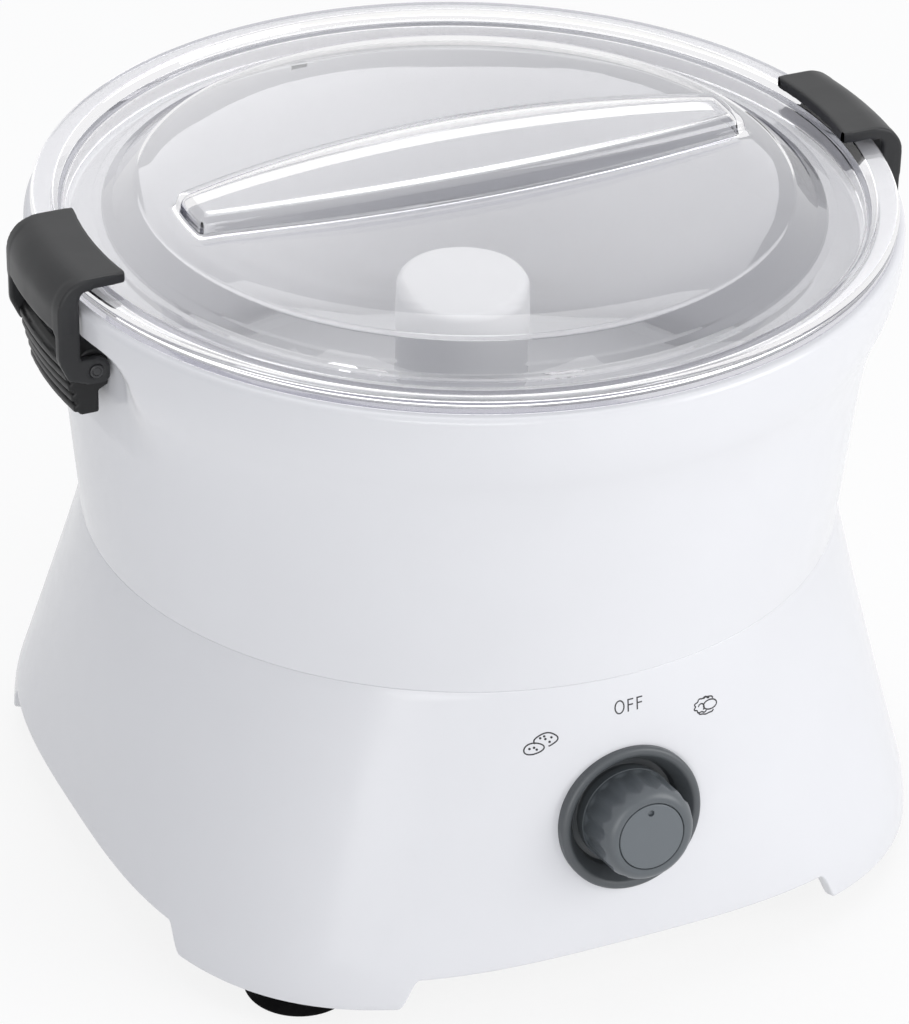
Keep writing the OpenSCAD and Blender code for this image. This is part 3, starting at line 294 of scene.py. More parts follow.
def mix_finishes(colours):
    """Makes every finish of the peeler"""
    body, latch, bezel, knob = (tuple(c) for c in (colours.body, colours.latch, colours.bezel, colours.knob))
    FINISHES.update(
        white_body=moulded_plastic("glossy white body", body, 0.2, 0.0011, 1.2e-6, 0.012),
        white_disc=moulded_plastic("satin white disc", (0.75, 0.755, 0.77), 0.34, 0.0006, 4e-6, 0.02),
        pale_plastic=moulded_plastic("pale inner plastic", (0.56, 0.56, 0.55), 0.5, 0.0007, 8e-6, 0.04),
        steel=worked_metal("turned steel", (0.62, 0.62, 0.63), 0.26, (1, 1, 14)),
        plate_steel=worked_metal("zinc plated sheet", (0.55, 0.56, 0.58), 0.36, (1, 9, 1)),
        blade_steel=worked_metal("ground blade steel", (0.7, 0.7, 0.71), 0.2, (6, 6, 1)),
        motor_can=worked_metal("motor can", (0.48, 0.49, 0.5), 0.32, (1, 1, 8)),
        bush_bronze=worked_metal("sintered bronze", (0.5, 0.33, 0.17), 0.42, (1, 1, 1), 2e-5),
        foot_rubber=rubber("black foot rubber", (0.0025, 0.0025, 0.0028), 0.7, 0.0015, 0.06),
        seal_rubber=rubber("seal rubber", (0.02, 0.02, 0.021)),
        gland_rubber=rubber("pale cord bush", (0.5, 0.5, 0.51), 0.55),
        bezel_grey=moulded_plastic("satin bezel grey", bezel, 0.4, 0.00035, 5e-6, 0.05),
        knob_grey=moulded_plastic("satin knob grey", knob, 0.36, 0.00035, 5e-6, 0.05),
        knob_cap_grey=moulded_plastic("knob cap grey", times(knob, 1.25), 0.42, 0.0003, 6e-6, 0.05),
        switch_black=moulded_plastic("switch black", (0.02, 0.02, 0.021), 0.45, 0.0005, 8e-6, 0.1),
        latch_grey=moulded_plastic("satin latch grey", latch, 0.42, 0.0003, 6e-6, 0.05, 0.32),
        bracket_grey=moulded_plastic("bracket black", times(latch, 0.5), 0.42, 0.0003, 6e-6, 0.06, 0.3),
        pin_grey=moulded_plastic("latch pin", times(latch, 1.4), 0.34, 0.0004, 5e-6, 0.06),
        socket_plastic=moulded_plastic("hub socket", (0.09, 0.09, 0.095), 0.45, 0.0005, 8e-6, 0.06),
        gear_nylon=moulded_plastic("gear nylon", (0.72, 0.7, 0.62), 0.38, 0.0006, 6e-6, 0.03),
        board_green=circuit_board("circuit board"),
        print_ink=moulded_plastic("printed ink", tuple(colours.print_ink), 0.5, 0.0002, 3e-6, 0.1),
        clear_plastic=clear_plastic("clear lid plastic"),
    )


# ---------------------------------------------------------------- mesh helpers

def rounded(corners, steps=5):
    """A closed outline whose corners (x, y, radius) become arcs"""
    outline = []
    count = len(corners)
    for i, (x, y, radius) in enumerate(corners):
        here = np.array((x, y), float)
        before = np.array(corners[i - 1][:2], float) - here
        after = np.array(corners[(i + 1) % count][:2], float) - here
        if radius <= 0:
            outline.append(here)
            continue
        u, v = before / np.linalg.norm(before), after / np.linalg.norm(after)
        half = math.acos(max(-1.0, min(1.0, float(u @ v)))) / 2
        reach = min(radius / math.tan(half), 0.5 * np.linalg.norm(before), 0.5 * np.linalg.norm(after))
        radius = reach * math.tan(half)
        middle = here + (u + v) / np.linalg.norm(u + v) * radius / math.sin(half)
        first = here + u * reach - middle
        last = here + v * reach - middle
        start = math.atan2(first[1], first[0])
        turn = (math.atan2(last[1], last[0]) - start + math.pi) % (2 * math.pi) - math.pi
        for k in range(steps + 1):
            angle = start + turn * k / steps
            outline.append(middle + radius * np.array((math.cos(angle), math.sin(angle))))
    return np.array(outline)


def grid_faces(rows, columns, wrap_rows=False):
    """Quads of a grid of points, row after row, whose rows are closed rings"""
    faces = []
    for i in range(rows if wrap_rows else rows - 1):
        j_next = (i + 1) % rows
        for j in range(columns):
            k = (j + 1) % columns
            faces.append((i * columns + j, i * columns + k, j_next * columns + k, j_next * columns + j))
    return faces


def flat_ring(angles, r, z):
    """One closed ring at a height"""
    return np.stack([r * np.cos(angles), r * np.sin(angles), np.full_like(angles, z)], -1)


def spun(outline, steps, closed=True):
    """Points and faces of an outline (radius, height) turned about Z"""
    angles = np.linspace(0, 2 * np.pi, steps, endpoint=False)
    points = np.concatenate([flat_ring(angles, r, z) for r, z in outline])
    return points, grid_faces(len(outline), steps, wrap_rows=closed)


def raw_piece(name, points, faces, place=None):
    """A closed mesh from points in millimetres, put in place by a matrix"""
    points = np.asarray(points, float)
    if place is not None:
        turn = np.array(place)
        points = points @ turn[:3, :3].T + turn[:3, 3]
    mesh = bpy.data.meshes.new(name)
    mesh.from_pydata((points * MM).tolist(), [], faces)
    work = bmesh.new()
    work.from_mesh(mesh)
    bmesh.ops.remove_doubles(work, verts=work.verts, dist=2e-6)
    bmesh.ops.dissolve_degenerate(work, edges=work.edges, dist=1e-7)
    bmesh.ops.recalc_face_normals(work, faces=work.faces)
    work.to_mesh(mesh)
    work.free()
    piece = bpy.data.objects.new(name, mesh)
    bpy.context.scene.collection.objects.link(piece)
    return piece


def cut(piece, *tools):
    """Takes the tools' solids out of a piece and deletes the tools"""
    for tool in tools:
        change = piece.modifiers.new("cut", "BOOLEAN")
        change.operation = "DIFFERENCE"
        change.solver = "EXACT"
        change.object = tool
    graph = bpy.context.evaluated_depsgraph_get()
    mesh = bpy.data.meshes.new_from_object(piece.evaluated_get(graph))
    piece.modifiers.clear()
    piece.data = mesh
    for tool in tools:
        bpy.data.objects.remove(tool)
    return piece


def dress(piece, finish, body, replaced=(), crease=32):
    """Smooths a piece, gives it its finish and lets it ride on its body"""
    mesh = piece.data
    mesh.materials.clear()
    mesh.materials.append(FINISHES[finish])
    mesh.shade_smooth()
    mesh.set_sharp_from_angle(angle=math.radians(crease))
    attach(piece, body)
    if replaced:
        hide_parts(*replaced)
    return piece


def box_tool(low, high):
    """A block between two corners, to cut with"""
    low, high = np.array(low, float), np.array(high, float)
    points = [low + (high - low) * np.array((i & 1, i >> 1 & 1, i >> 2 & 1)) for i in range(8)]
    sides = [(0, 2, 3, 1), (4, 5, 7, 6), (0, 1, 5, 4), (2, 6, 7, 3), (0, 4, 6, 2), (1, 3, 7, 5)]
    return raw_piece("tool", points, sides)


def round_tool(radius, low, high, steps, place):
    """A cylinder between two heights, put in place by a matrix, to cut with"""
    return raw_piece("tool", *spun([(0, low), (radius, low), (radius, high), (0, high)], steps, False), place)


def on_panel():
    """Place of the knob: its +Z points out of the panel"""
    return (Matrix.Translation((0, -PANEL_Y, KNOB_Z))
            @ Matrix.Rotation(math.radians(90 - PANEL_TILT), 4, "X"))


def outline_gap(x, y, outline):
    """Distance from points to a closed outline, below zero inside it"""
    best = np.full(x.shape, 1e9)
    inside = np.zeros(x.shape, bool)
    for a, b in zip(outline, np.roll(outline, -1, axis=0)):
        edge = b - a
        length = edge @ edge
        if length < 1e-12:
            continue
        wx, wy = x - a[0], y - a[1]
        t = np.clip((wx * edge[0] + wy * edge[1]) / length, 0, 1)
        best = np.minimum(best, (wx - edge[0] * t) ** 2 + (wy - edge[1] * t) ** 2)
        crosses = (y >= a[1]) != (y >= b[1])
        if crosses.any():
            inside ^= crosses & (x < a[0] + edge[0] * (y - a[1]) / (edge[1] if edge[1] else 1))
    return np.where(inside, -1, 1) * np.sqrt(best)


def meet(a, b, radius):
    """Overlap of two solids, with its edge rounded to a radius"""
    a, b = a + radius, b + radius
    return np.minimum(np.maximum(a, b), 0) + np.hypot(np.maximum(a, 0), np.maximum(b, 0)) - radius


def moulded_skin(gap, low, high, cell):
    """Points and faces of the closed skin on which gap(points) is zero"""
    axes = [np.arange(low[i] - cell, high[i] + 2 * cell, cell) for i in range(3)]
    lattice = np.stack(np.meshgrid(*axes, indexing="ij"), -1)
    field = gap(lattice)
    inside = field < 0
    size = np.array(field.shape) - 1
    total = np.zeros((*size, 3))
    hits = np.zeros(size)
    corner = [(i, j, k) for i in (0, 1) for j in (0, 1) for k in (0, 1)]
    pick = {c: tuple(slice(c[n], c[n] + size[n]) for n in range(3)) for c in corner}
    for a in corner:
        for axis in range(3):
            if a[axis]:
                continue
            b = tuple(1 if n == axis else a[n] for n in range(3))
            fa, fb = field[pick[a]], field[pick[b]]
            crossed = (fa < 0) != (fb < 0)
            t = np.where(crossed, fa / np.where(crossed, fa - fb, 1), 0)
            spot = lattice[pick[a]].copy()
            spot[..., axis] += t * cell
            total += spot * crossed[..., None]
            hits += crossed
    used = hits > 0
    number = np.full(size, -1)
    number[used] = np.arange(used.sum())
    points = total[used] / hits[used][:, None]
    probe = 0.02
    for _ in range(4):
        value = gap(points)
        rise = [gap(points + way) - gap(points - way) for way in probe * np.eye(3)]
        slope = np.stack(rise, -1) / (2 * probe)
        step = value[:, None] * slope / np.maximum((slope ** 2).sum(-1), 0.2)[:, None]
        points = points - np.clip(step, -0.4 * cell, 0.4 * cell)
    faces = []
    for axis in range(3):
        u, v = (axis + 1) % 3, (axis + 2) % 3
        first = inside[tuple(slice(0, -1) if n == axis else slice(1, -1) for n in range(3))]
        second = inside[tuple(slice(1, None) if n == axis else slice(1, -1) for n in range(3))]
        for found, order in ((first & ~second, (0, 1, 2, 3)), (~first & second, (3, 2, 1, 0))):
            spots = np.argwhere(found)
            spots[:, [u, v]] += 1
            ring = []
            for du, dv in ((-1, -1), (0, -1), (0, 0), (-1, 0)):
                shifted = spots.copy()
                shifted[:, u] += du
                shifted[:, v] += dv
                ring.append(number[tuple(shifted.T)])
            faces.append(np.stack([ring[k] for k in order], -1))
    return points, np.concatenate(faces).tolist()


# ---------------------------------------------------------------- base

def smooth(t):
    """Eased step from 0 to 1"""
    t = np.clip(t, 0, 1)
    return t * t * (3 - 2 * t)


def hermite(t, span, first, first_slope, last, last_slope):
    """Cubic curve over a span between two values, with a slope at each"""
    return ((2 * t ** 3 - 3 * t ** 2 + 1) * first + (t ** 3 - 2 * t ** 2 + t) * span * first_slope
            + (3 * t ** 2 - 2 * t ** 3) * last + (t ** 3 - t ** 2) * span * last_slope)


def base_weight(z):
    """Share of the square foot in the base's outline at a height"""
    u = np.maximum(0, (z - SKIRT_Z) / (SEAM_Z - SKIRT_Z))
    whole = 1 - FOOT_ROUND / 2
    return np.where(u < FOOT_ROUND, 1 - u * u / (2 * FOOT_ROUND * whole), (1 - u) / whole)


def base_radius(a, z):
    """Outer radius of the base at an angle and a height"""
    square = HALF_W / (np.abs(np.cos(a)) ** SQUARENESS + np.abs(np.sin(a)) ** SQUARENESS) ** (1 / SQUARENESS)
    return SEAM_R + base_weight(z) * (square - SEAM_R)


def base_angles():
    """Angles of the base's columns, close together where the arches end"""
    plain = np.arange(0, 90, 1.5)
    ends = np.arange(NOTCH_A - 2, NOTCH_A + 2.1, 0.3)
    far = np.minimum(np.abs(plain - NOTCH_A), np.abs(plain - (90 - NOTCH_A))) > 2.3
    quarter = np.unique(np.round(np.concatenate([plain[far], ends, 90 - ends]), 4))
    return np.radians(np.concatenate([quarter + 90 * k for k in range(4)]))


def base_ring(angles, rise, share, inset):
    """One closed line round the base wall"""
    degrees = np.degrees(angles)
    off_axis = np.abs((degrees + 45) % 90 - 45)
    skirt = SKIRT_Z + SKIRT_RISE * smooth((NOTCH_A + NOTCH_BLEND / 2 - off_axis) / NOTCH_BLEND)
    z = skirt + rise + share * (SEAM_Z - skirt)
    r = base_radius(angles, z) - inset
    return np.stack([r * np.cos(angles), r * np.sin(angles), z], -1)


class PEELER_OT_base(bpy.types.Operator):
    """Moulded housing of the base, with arched gaps between its feet"""
    bl_idname = "peeler.base"
    bl_label = "Base housing"

    def execute(self, context):
        hem, inner_hem, top_edge = 0.9, 0.6, 0.4
        angles = base_angles()
        quarter = [(1 - math.sin(t), 1 - math.cos(t)) for t in np.linspace(0, np.pi / 2, 6)]
        rings = [base_ring(angles, hem * up, 0, hem * away) for up, away in quarter[::-1]]
        rings += [base_ring(angles, hem * (1 - s), s, 0) for s in np.linspace(0.015, 0.985, 44)]
        rings += [flat_ring(angles, SEAM_R - top_edge * away, SEAM_Z - top_edge * up) for up, away in quarter]
        rings += [flat_ring(angles, LIP_R, SEAM_Z), flat_ring(angles, LIP_R, SEAM_Z - LIP_T),
                  flat_ring(angles, SEAM_R - WALL, SEAM_Z - LIP_T)]
        rings += [base_ring(angles, inner_hem * (1 - s), s, WALL) for s in np.linspace(0.94, 0.02, 24)]
        rings += [base_ring(angles, inner_hem * up, 0, WALL - inner_hem * away) for up, away in quarter]
        faces = grid_faces(len(rings), len(angles), wrap_rows=True)
        piece = raw_piece("base_skin", np.concatenate(rings), faces)
        hole = round_tool(BEZEL_R - 0.7, -16, 16, 96, on_panel())
        to_back = Matrix.Translation((0, 0, 40)) @ Matrix.Rotation(math.radians(-90), 4, "X")
        gland = round_tool(7, 100, 140, 64, to_back)
        dress(cut(piece, hole, gland), "white_body", "base", ["base_housing"])
        return {"FINISHED"}


class PEELER_OT_feet(bpy.types.Operator):
    """Four suction feet with a dished underside and a soft rim"""
    bl_idname = "peeler.feet"
    bl_label = "Feet"

    def execute(self, context):
        rim, stem = FOOT_R, FOOT_STEM
        outline = rounded([
            (0, 4.5, 0), (rim * 0.5, 3.6, 3), (rim - 2.2, 0, 0.5), (rim - 0.4, 0, 0.3), (rim, 0.8, 0.3),
            (rim - 1.4, 3.6, 2), (rim - 4, 7, 2), (rim - 7, 9, 1.5), (rim - 8, stem, 0.3), (4, stem, 0.3),
            (4, stem + 2.5, 0.2), (6.2, stem + 2.5, 0.4), (5.2, stem + 5.5, 0.6), (0, stem + 5.5, 0)])
        points, faces = spun(outline, 72, closed=False)
        for name in ("front_left", "front_right", "rear_left", "rear_right"):
            low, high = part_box("foot_" + name)
            place = Matrix.Translation(((low[0] + high[0]) / 2 / MM, (low[1] + high[1]) / 2 / MM, 0))
            piece = raw_piece("foot_rubber_" + name, points, faces, place)
            dress(piece, "foot_rubber", "base", ["foot_" + name])
        return {"FINISHED"}


# ---------------------------------------------------------------- panel and knob

class PEELER_OT_bezel(bpy.types.Operator):
    """Grey ring with a rolled lip and a dish round the knob"""
    bl_idname = "peeler.bezel"
    bl_label = "Bezel"

    def execute(self, context):
        bore, seat, groove = 4.7, BEZEL_SEAT + 0.1, BEZEL_BACK + 0.7
        outline = rounded([
            (bore, BEZEL_BACK, 0), (BEZEL_R - 1.2, BEZEL_BACK, 0.3), (BEZEL_R - 1.2, seat, 0),
            (BEZEL_R, seat, 0.1), (BEZEL_R, BEZEL_LIP, 1.2), (BEZEL_R - 2.4, BEZEL_LIP, 1.4),
            (KNOB_R + 2.0, BEZEL_FLOOR + 0.9, 0.9), (KNOB_R + 1.6, groove, 0.3),
            (KNOB_R - 0.6, groove, 0.3), (KNOB_R - 0.6, BEZEL_FLOOR, 0), (bore, BEZEL_FLOOR, 0)], 8)
        dress(raw_piece("bezel_ring", *spun(outline, 160), on_panel()), "bezel_grey", "base", ["knob_bezel"])
        return {"FINISHED"}


def knob_radius(a, u, depth, front):
    """Radius of the knob's side: a plain collar, then soft flutes up to the front's rounding"""
    soft = 0.14
    wave = 0.5 - 0.5 * np.cos(KNOB_FLUTES * a)
    side = KNOB_R - 0.2 * smooth((u - KNOB_COLLAR) / 0.25)
    side = side - depth * wave * smooth((u - KNOB_COLLAR - 0.3) / 1.5)
    share = np.clip(0.5 + 0.5 * (front - side) / soft, 0, 1)
    return front * (1 - share) + side * share - soft * share * (1 - share)


class PEELER_OT_knob(bpy.types.Operator):
    """Fluted control knob with a flat cap let into its face"""
    bl_idname = "peeler.knob"
    bl_label = "Control knob"

    def execute(self, context):
        depth = context.scene.peeler_sizes.flute_depth / MM
        angles = np.linspace(0, 2 * np.pi, 384, endpoint=False)
        top, pocket, socket, socket_top = KNOB_PROUD, KNOB_PROUD - 1.6, 3.05, KNOB_LOW + 4.2
        side = [KNOB_LOW, KNOB_LOW + 0.4, *np.linspace(-2.1, -0.5, 4), -0.4, -0.34, -0.27, -0.2, -0.14,
                *np.linspace(0.1, KNOB_FRONT, 22)]
        rings = [flat_ring(angles, r, u)
                 for r, u in ((8.4, socket_top), (8.4, KNOB_LOW), (KNOB_R - 0.5, KNOB_LOW))]
        rings += [flat_ring(angles, knob_radius(angles, u, depth, KNOB_R + 0.2), u) for u in side]
        for t in np.linspace(0.06, np.pi / 2, 20):
            front = KNOB_R - KNOB_ROUND * (1 - math.cos(t))
            u = KNOB_FRONT + (top - KNOB_FRONT) * math.sin(t)
            rings.append(flat_ring(angles, knob_radius(angles, u, depth, front), u))
        rings += [flat_ring(angles, r, u)
                  for r, u in ((CAP_R + 0.9, top), (CAP_R + 0.4, top - 0.06), (CAP_R + 0.22, top - 0.3),
                               (CAP_R + 0.22, pocket), (socket, pocket), (socket, socket_top))]
        faces = grid_faces(len(rings), len(angles), wrap_rows=True)
        piece = raw_piece("knob_grip", np.concatenate(rings), faces, on_panel())
        dress(piece, "knob_grey", "knob", ["control_knob"])
        cap = rounded([(0, pocket, 0), (CAP_R, pocket, 0), (CAP_R, top, 0.35), (0, top, 0)])
        dish = spun([(0, -0.6), (0.5, -0.65), (0.95, -0.9), (1.0, 1), (0, 1)], 40, False)
        dimple = raw_piece("tool", *dish, on_panel() @ Matrix.Translation((0, CAP_R * 0.74, top)))
        piece = raw_piece("knob_face", *spun(cap, 128, False), on_panel())
        dress(cut(piece, dimple), "knob_cap_grey", "knob", ["knob_cap"])
        return {"FINISHED"}


# ---------------------------------------------------------------- printed marks

def on_wall(x, z, lift):
    """Points of the front panel at sideways places and heights, lifted off it"""
    angle = np.arctan2(-np.sqrt(np.maximum(base_reach(z) ** 2 - x ** 2, 1)), x)
    for _ in range(30):
        radius = base_radius(angle, z)
        angle = -np.arccos(np.clip(x / radius, -1, 1))
    radius = base_radius(angle, z)
    spot = np.stack([radius * np.cos(angle), radius * np.sin(angle), z], -1)
    tilt = math.radians(PANEL_TILT)
    return spot + lift * np.array((0, -math.cos(tilt), math.sin(tilt)))


def base_reach(z):
    """Half width of the base along an axis at a height"""
    return SEAM_R + (HALF_W - SEAM_R) * base_weight(z)


def stroke(points, width, closed=False):
    """Left and right edges of a drawn line"""
    points = np.asarray(points, float)
    if closed:
        ahead, behind = np.roll(points, -1, axis=0), np.roll(points, 1, axis=0)
    else:
        ahead = np.vstack([points[1:], 2 * points[-1] - points[-2]])
        behind = np.vstack([2 * points[0] - points[1], points[:-1]])
    way = ahead - behind
    way /= np.linalg.norm(way, axis=1)[:, None]
    side = np.stack([-way[:, 1], way[:, 0]], -1) * width / 2
    return points + side, points - side


def printed(lines, centre, width):
    """Points and faces of thin ink on the panel for lines of (points, closed) round a centre (x, z)"""
    points, faces = [], []
    for line, closed in lines:
        left, right = stroke(line, width, closed)
        count = len(left)
        start = len(points)
        for lift in (0.035, -0.12):
            for edge in (left, right):
                x, up = edge[:, 0] + centre[0], edge[:, 1] * math.cos(math.radians(PANEL_TILT)) + centre[1]
                points.extend(on_wall(x, up, lift))
        tl, tr, bl, br = (start + k * count for k in range(4))
        for i in range(count if closed else count - 1):
            j = (i + 1) % count
            faces += [(tl + i, tl + j, tr + j, tr + i), (bl + i, br + i, br + j, bl + j),
                      (tl + i, bl + i, bl + j, tl + j), (tr + i, tr + j, br + j, br + i)]
        if not closed:
            last = count - 1
            faces += [(tl, tr, br, bl), (tl + last, bl + last, br + last, tr + last)]
    return points, faces


def oval(x, y, rx, ry, turn=0, start=0, end=360, wobble=0, waves=3, steps=40):
    """A drawn oval, or part of one, turned by some degrees"""
    t = np.radians(np.linspace(start, end, steps, endpoint=end - start < 360))
    swell = 1 + wobble * np.cos(waves * t + 0.7)
    px, py = rx * swell * np.cos(t), ry * swell * np.sin(t)
    c, s = math.cos(math.radians(turn)), math.sin(math.radians(turn))
    return np.stack([x + c * px - s * py, y + s * px + c * py], -1)


class PEELER_OT_marks(bpy.types.Operator):
    """OFF and two small pictograms, printed round the knob"""
    bl_idname = "peeler.marks"
    bl_label = "Printed marks"

    def execute(self, context):
        width = context.scene.peeler_sizes.mark_line / MM
        high = 1.8
        letters = [(oval(-2.85, 0, 1.25, high), True)]
        for x in (-0.4, 2.2):
            letters += [([(x - 0.2, high - width / 2), (x + 1.5, high - width / 2)], False),
                        ([(x, -high), (x, high - width)], False),
                        ([(x + width / 2, 0.1), (x + 1.4, 0.1)], False)]
        pair = [(oval(-1.5, -0.85, 2.0, 1.15, 6, wobble=0.05), True),
                (oval(1.0, 0.7, 2.3, 1.42, 5, -82, 196, 0.04, 4), False)]
        eyes = ((-2.3, -0.8), (-1.4, -0.65), (-0.9, -1.1), (-0.1, 1.2),
                (0.9, 0.9), (1.7, 0.2), (2.1, 1.1), (0.7, 1.5))
        pair += [(oval(x, y, 0.12, 0.12, steps=8), True) for x, y in eyes]
        sprout = [(oval(1.0, -0.1, 1.6, 1.0, -8), True),
                  (oval(-0.6, 0.3, 2.1, 1.5, 0, 45, 290, 0.09, 9, 60), False),
                  (oval(-1.15, -0.1, 0.7, 0.8, 10, -60, 150, steps=16), False),
                  (oval(0.1, -1.0, 2.0, 0.8, -4, 185, 335, 0.06, 8, 30), False),
                  (oval(0.5, 1.1, 1.3, 0.6, -8, 10, 150, 0.05, 6, 20), False)]
        for name, lines, centre, scale in (("mark_off", letters, (1.1, 92.1), 1.1),
                                           ("mark_pair", pair, (-25.6, 85.1), 1.45),
                                           ("mark_leaf", sprout, (26.3, 84.7), 1.45)):
            lines = [(np.array(line) * scale, closed) for line, closed in lines]
            piece = raw_piece(name, *printed(lines, centre, width))
            dress(piece, "print_ink", "base")
        return {"FINISHED"}


# ---------------------------------------------------------------- bowl

def bowl_radius(z):
    """Outer radius of the bowl at a height: a cone that runs into the rim's curve"""
    slope = (WALL_TOP_R - SEAM_R) / (FLARE_Z - SEAM_Z)
    curve = np.sqrt(FLARE_R ** 2 - np.clip(RIM_Z - z, 0, 26) ** 2)
    curve_low = math.sqrt(FLARE_R ** 2 - (RIM_Z - BLEND_TOP) ** 2)
    span = BLEND_TOP - BLEND_LOW
    t = np.clip((z - BLEND_LOW) / span, 0, 1)
    blend = hermite(t, span, SEAM_R + slope * (BLEND_LOW - SEAM_Z), slope,
                    RIM_R - FLARE_R + curve_low, (RIM_Z - BLEND_TOP) / curve_low)
    upper = np.where(z > BLEND_TOP, RIM_R - FLARE_R + curve, blend)
    return np.where(z < BLEND_LOW, SEAM_R + slope * (z - SEAM_Z), upper)


class PEELER_OT_bowl(bpy.types.Operator):
    """White bowl with an out-curved rim, latch notches and a small vent"""
    bl_idname = "peeler.bowl"
    bl_label = "Bowl"

    def execute(self, context):
        floor, under, low, spigot, chimney = 103.5, 100.3, 97.0, 105.1, 149.5
        heights = np.concatenate([
            np.linspace(SEAM_Z + 0.6, BLEND_LOW - 2, 16), np.linspace(BLEND_LOW, NOTCH_TOP - 1, 46),
            NOTCH_TOP + np.array([-0.7, -0.5, -0.3, -0.1, 0, 0.1, 1.5]), [RIM_Z]])
        section = [(9.6, low, 0), (13, low, 0), (16, under, 1), (99.1, under, 1), (101.6, low, 0.5),
                   (spigot, low, 0.6), (spigot, SEAM_Z, 0), (SEAM_R, SEAM_Z, 0.4)]
        section += [(r, z, 0) for r, z in zip(bowl_radius(heights), heights)]
        section += [(RIM_R, RIM_Z + 1.5, 0), (RIM_R, BOWL_TOP, 2.2), (MOUTH_R, BOWL_TOP, 0.5),
                    (MOUTH_R, MOUTH_Z, 0.3), (BORE_R, MOUTH_Z, 0.6), (BORE_R, FLARE_Z - 4, 6),
                    (110.1, floor, 8), (16, floor, 3), (13, floor + 3, 2), (13, chimney, 1),
                    (5.5, chimney, 0.3), (5.5, chimney - 2.5, 0), (9.6, chimney - 2.5, 0)]
        points, faces = spun(rounded(section, 6), 360)
        radius = np.hypot(points[:, 0], points[:, 1])
        outside = radius > np.maximum(bowl_radius(points[:, 2]) - 0.01, NOTCH_R)
        depth = np.where(outside, (radius - NOTCH_R) * latch_recess(points), 0)
        points[:, :2] *= (1 - depth / np.maximum(radius, 1))[:, None]
        piece = raw_piece("bowl_skin", points, faces)
        tools = []
        for s in (-1, 1):
            near, far = sorted((s * RIM_FLAT, s * (RIM_FLAT + 10)))
            tools.append(box_tool((near, -NOTCH_HALF, NOTCH_TOP - 0.5), (far, NOTCH_HALF, BOWL_TOP + 2)))
        tools.append(box_tool((-6.75, MOUTH_R - 10, 188), (-1.25, MOUTH_R + 20, 190.3)))
        dress(cut(piece, *tools), "white_body", "bowl", ["bowl_shell"])
        return {"FINISHED"}


def latch_recess(points):
    """Share of the rim's curve that is hollowed out behind the latches: full at a latch, soft at its sides"""
    off = np.abs(points[:, 1])
    soft = 0.5 + 14 * smooth((off - 24) / 18)
    return (1 - smooth((off - 26) / 17)) * (1 - smooth((points[:, 2] - NOTCH_TOP + soft) / soft))


# ---------------------------------------------------------------- latches

def grip_radius(z):
    """Radius of the bracket's ribbed face at a height"""
    return LATCH_FACE - 2.6 - 3 * smooth((PIN_Z + 4 - z) / 18)


def hook_gap(edge):
    """Distance to the right-hand latch hook, below zero inside it"""
    inner, middle_x, middle_z = LATCH_FACE - LATCH_WALL, LATCH_FACE - LATCH_ROLL, LATCH_TOP - LATCH_ROLL
    roll = [(middle_x + LATCH_ROLL * math.cos(a), middle_z + LATCH_ROLL * math.sin(a), 0)
            for a in np.linspace(np.pi / 2, 0, 16)]
    profile = rounded([(LATCH_TIP, LATCH_LOW, 0.3), (LATCH_TIP, LATCH_TOP, 0.9), *roll,
                       (LATCH_FACE, BAND_Z, 0.9), (inner, BAND_Z, 0.9),
                       (inner, LATCH_LOW - 4.5, 2), (inner - 4.5, LATCH_LOW, 2)], 8)
    back, foot = LATCH_TIP - 8, PIN_Z - 20
    envelope = rounded([(back, foot, 0), (back, LATCH_TOP, 0), *roll, (LATCH_FACE, foot, 0)])
    half, front = LATCH_HALF, LATCH_FACE + 0.2
    plan = rounded([(back, -half + 1.4, 0), (LATCH_TIP + 1.6, -half, 3), (front, -half, 2.6),
                    (front, half, 2.6), (LATCH_TIP + 1.6, half, 3), (back, half - 1.4, 0)], 6)
    arm_x, face_x, ear_low, ear_round = 126.0, LATCH_FACE + 1.1, PIN_Z - EAR_R, EAR_R * 0.97
    arm = rounded([(arm_x - 3, LATCH_LOW + 1.5, 0), (arm_x - 3, LATCH_LOW, 0), (arm_x, LATCH_LOW, 2),
                   (arm_x, PIN_Z + EAR_R, 0.8), (PIN_X - EAR_R, PIN_Z + EAR_R, ear_round),
                   (PIN_X - EAR_R, ear_low, ear_round), (PIN_X + 1, ear_low, 1),
                   (PIN_X + 2.6, ear_low + 0.3, 1), (PIN_X + 8.1, ear_low + 2.35, 0.8),
                   (grip_radius(PIN_Z + 3) + 0.3, PIN_Z + 3, 4), (face_x, PIN_Z + 10, 4),
                   (face_x, LATCH_LOW + 1.5, 0)], 8)

    def gap(points):
        x, y, z = points[..., 0], points[..., 1], points[..., 2]
        reach = np.hypot(x, y)
        plan_gap = outline_gap(x, y, plan)
        plate = meet(outline_gap(reach, z, profile), plan_gap, edge)
        slab = np.abs(np.abs(y) - (half - LATCH_WALL / 2)) - LATCH_WALL / 2
        outer = np.maximum(outline_gap(reach, z, envelope), plan_gap)
        side = meet(meet(outline_gap(x, z, arm), slab, edge * 0.7), outer, edge)
        whole = meet(-meet(-plate, -side, 1.8), outer, edge * 0.5)
        bore = PIN_BORE - np.hypot(x - PIN_X, z - PIN_Z)
        return np.maximum(whole, bore)

    return gap


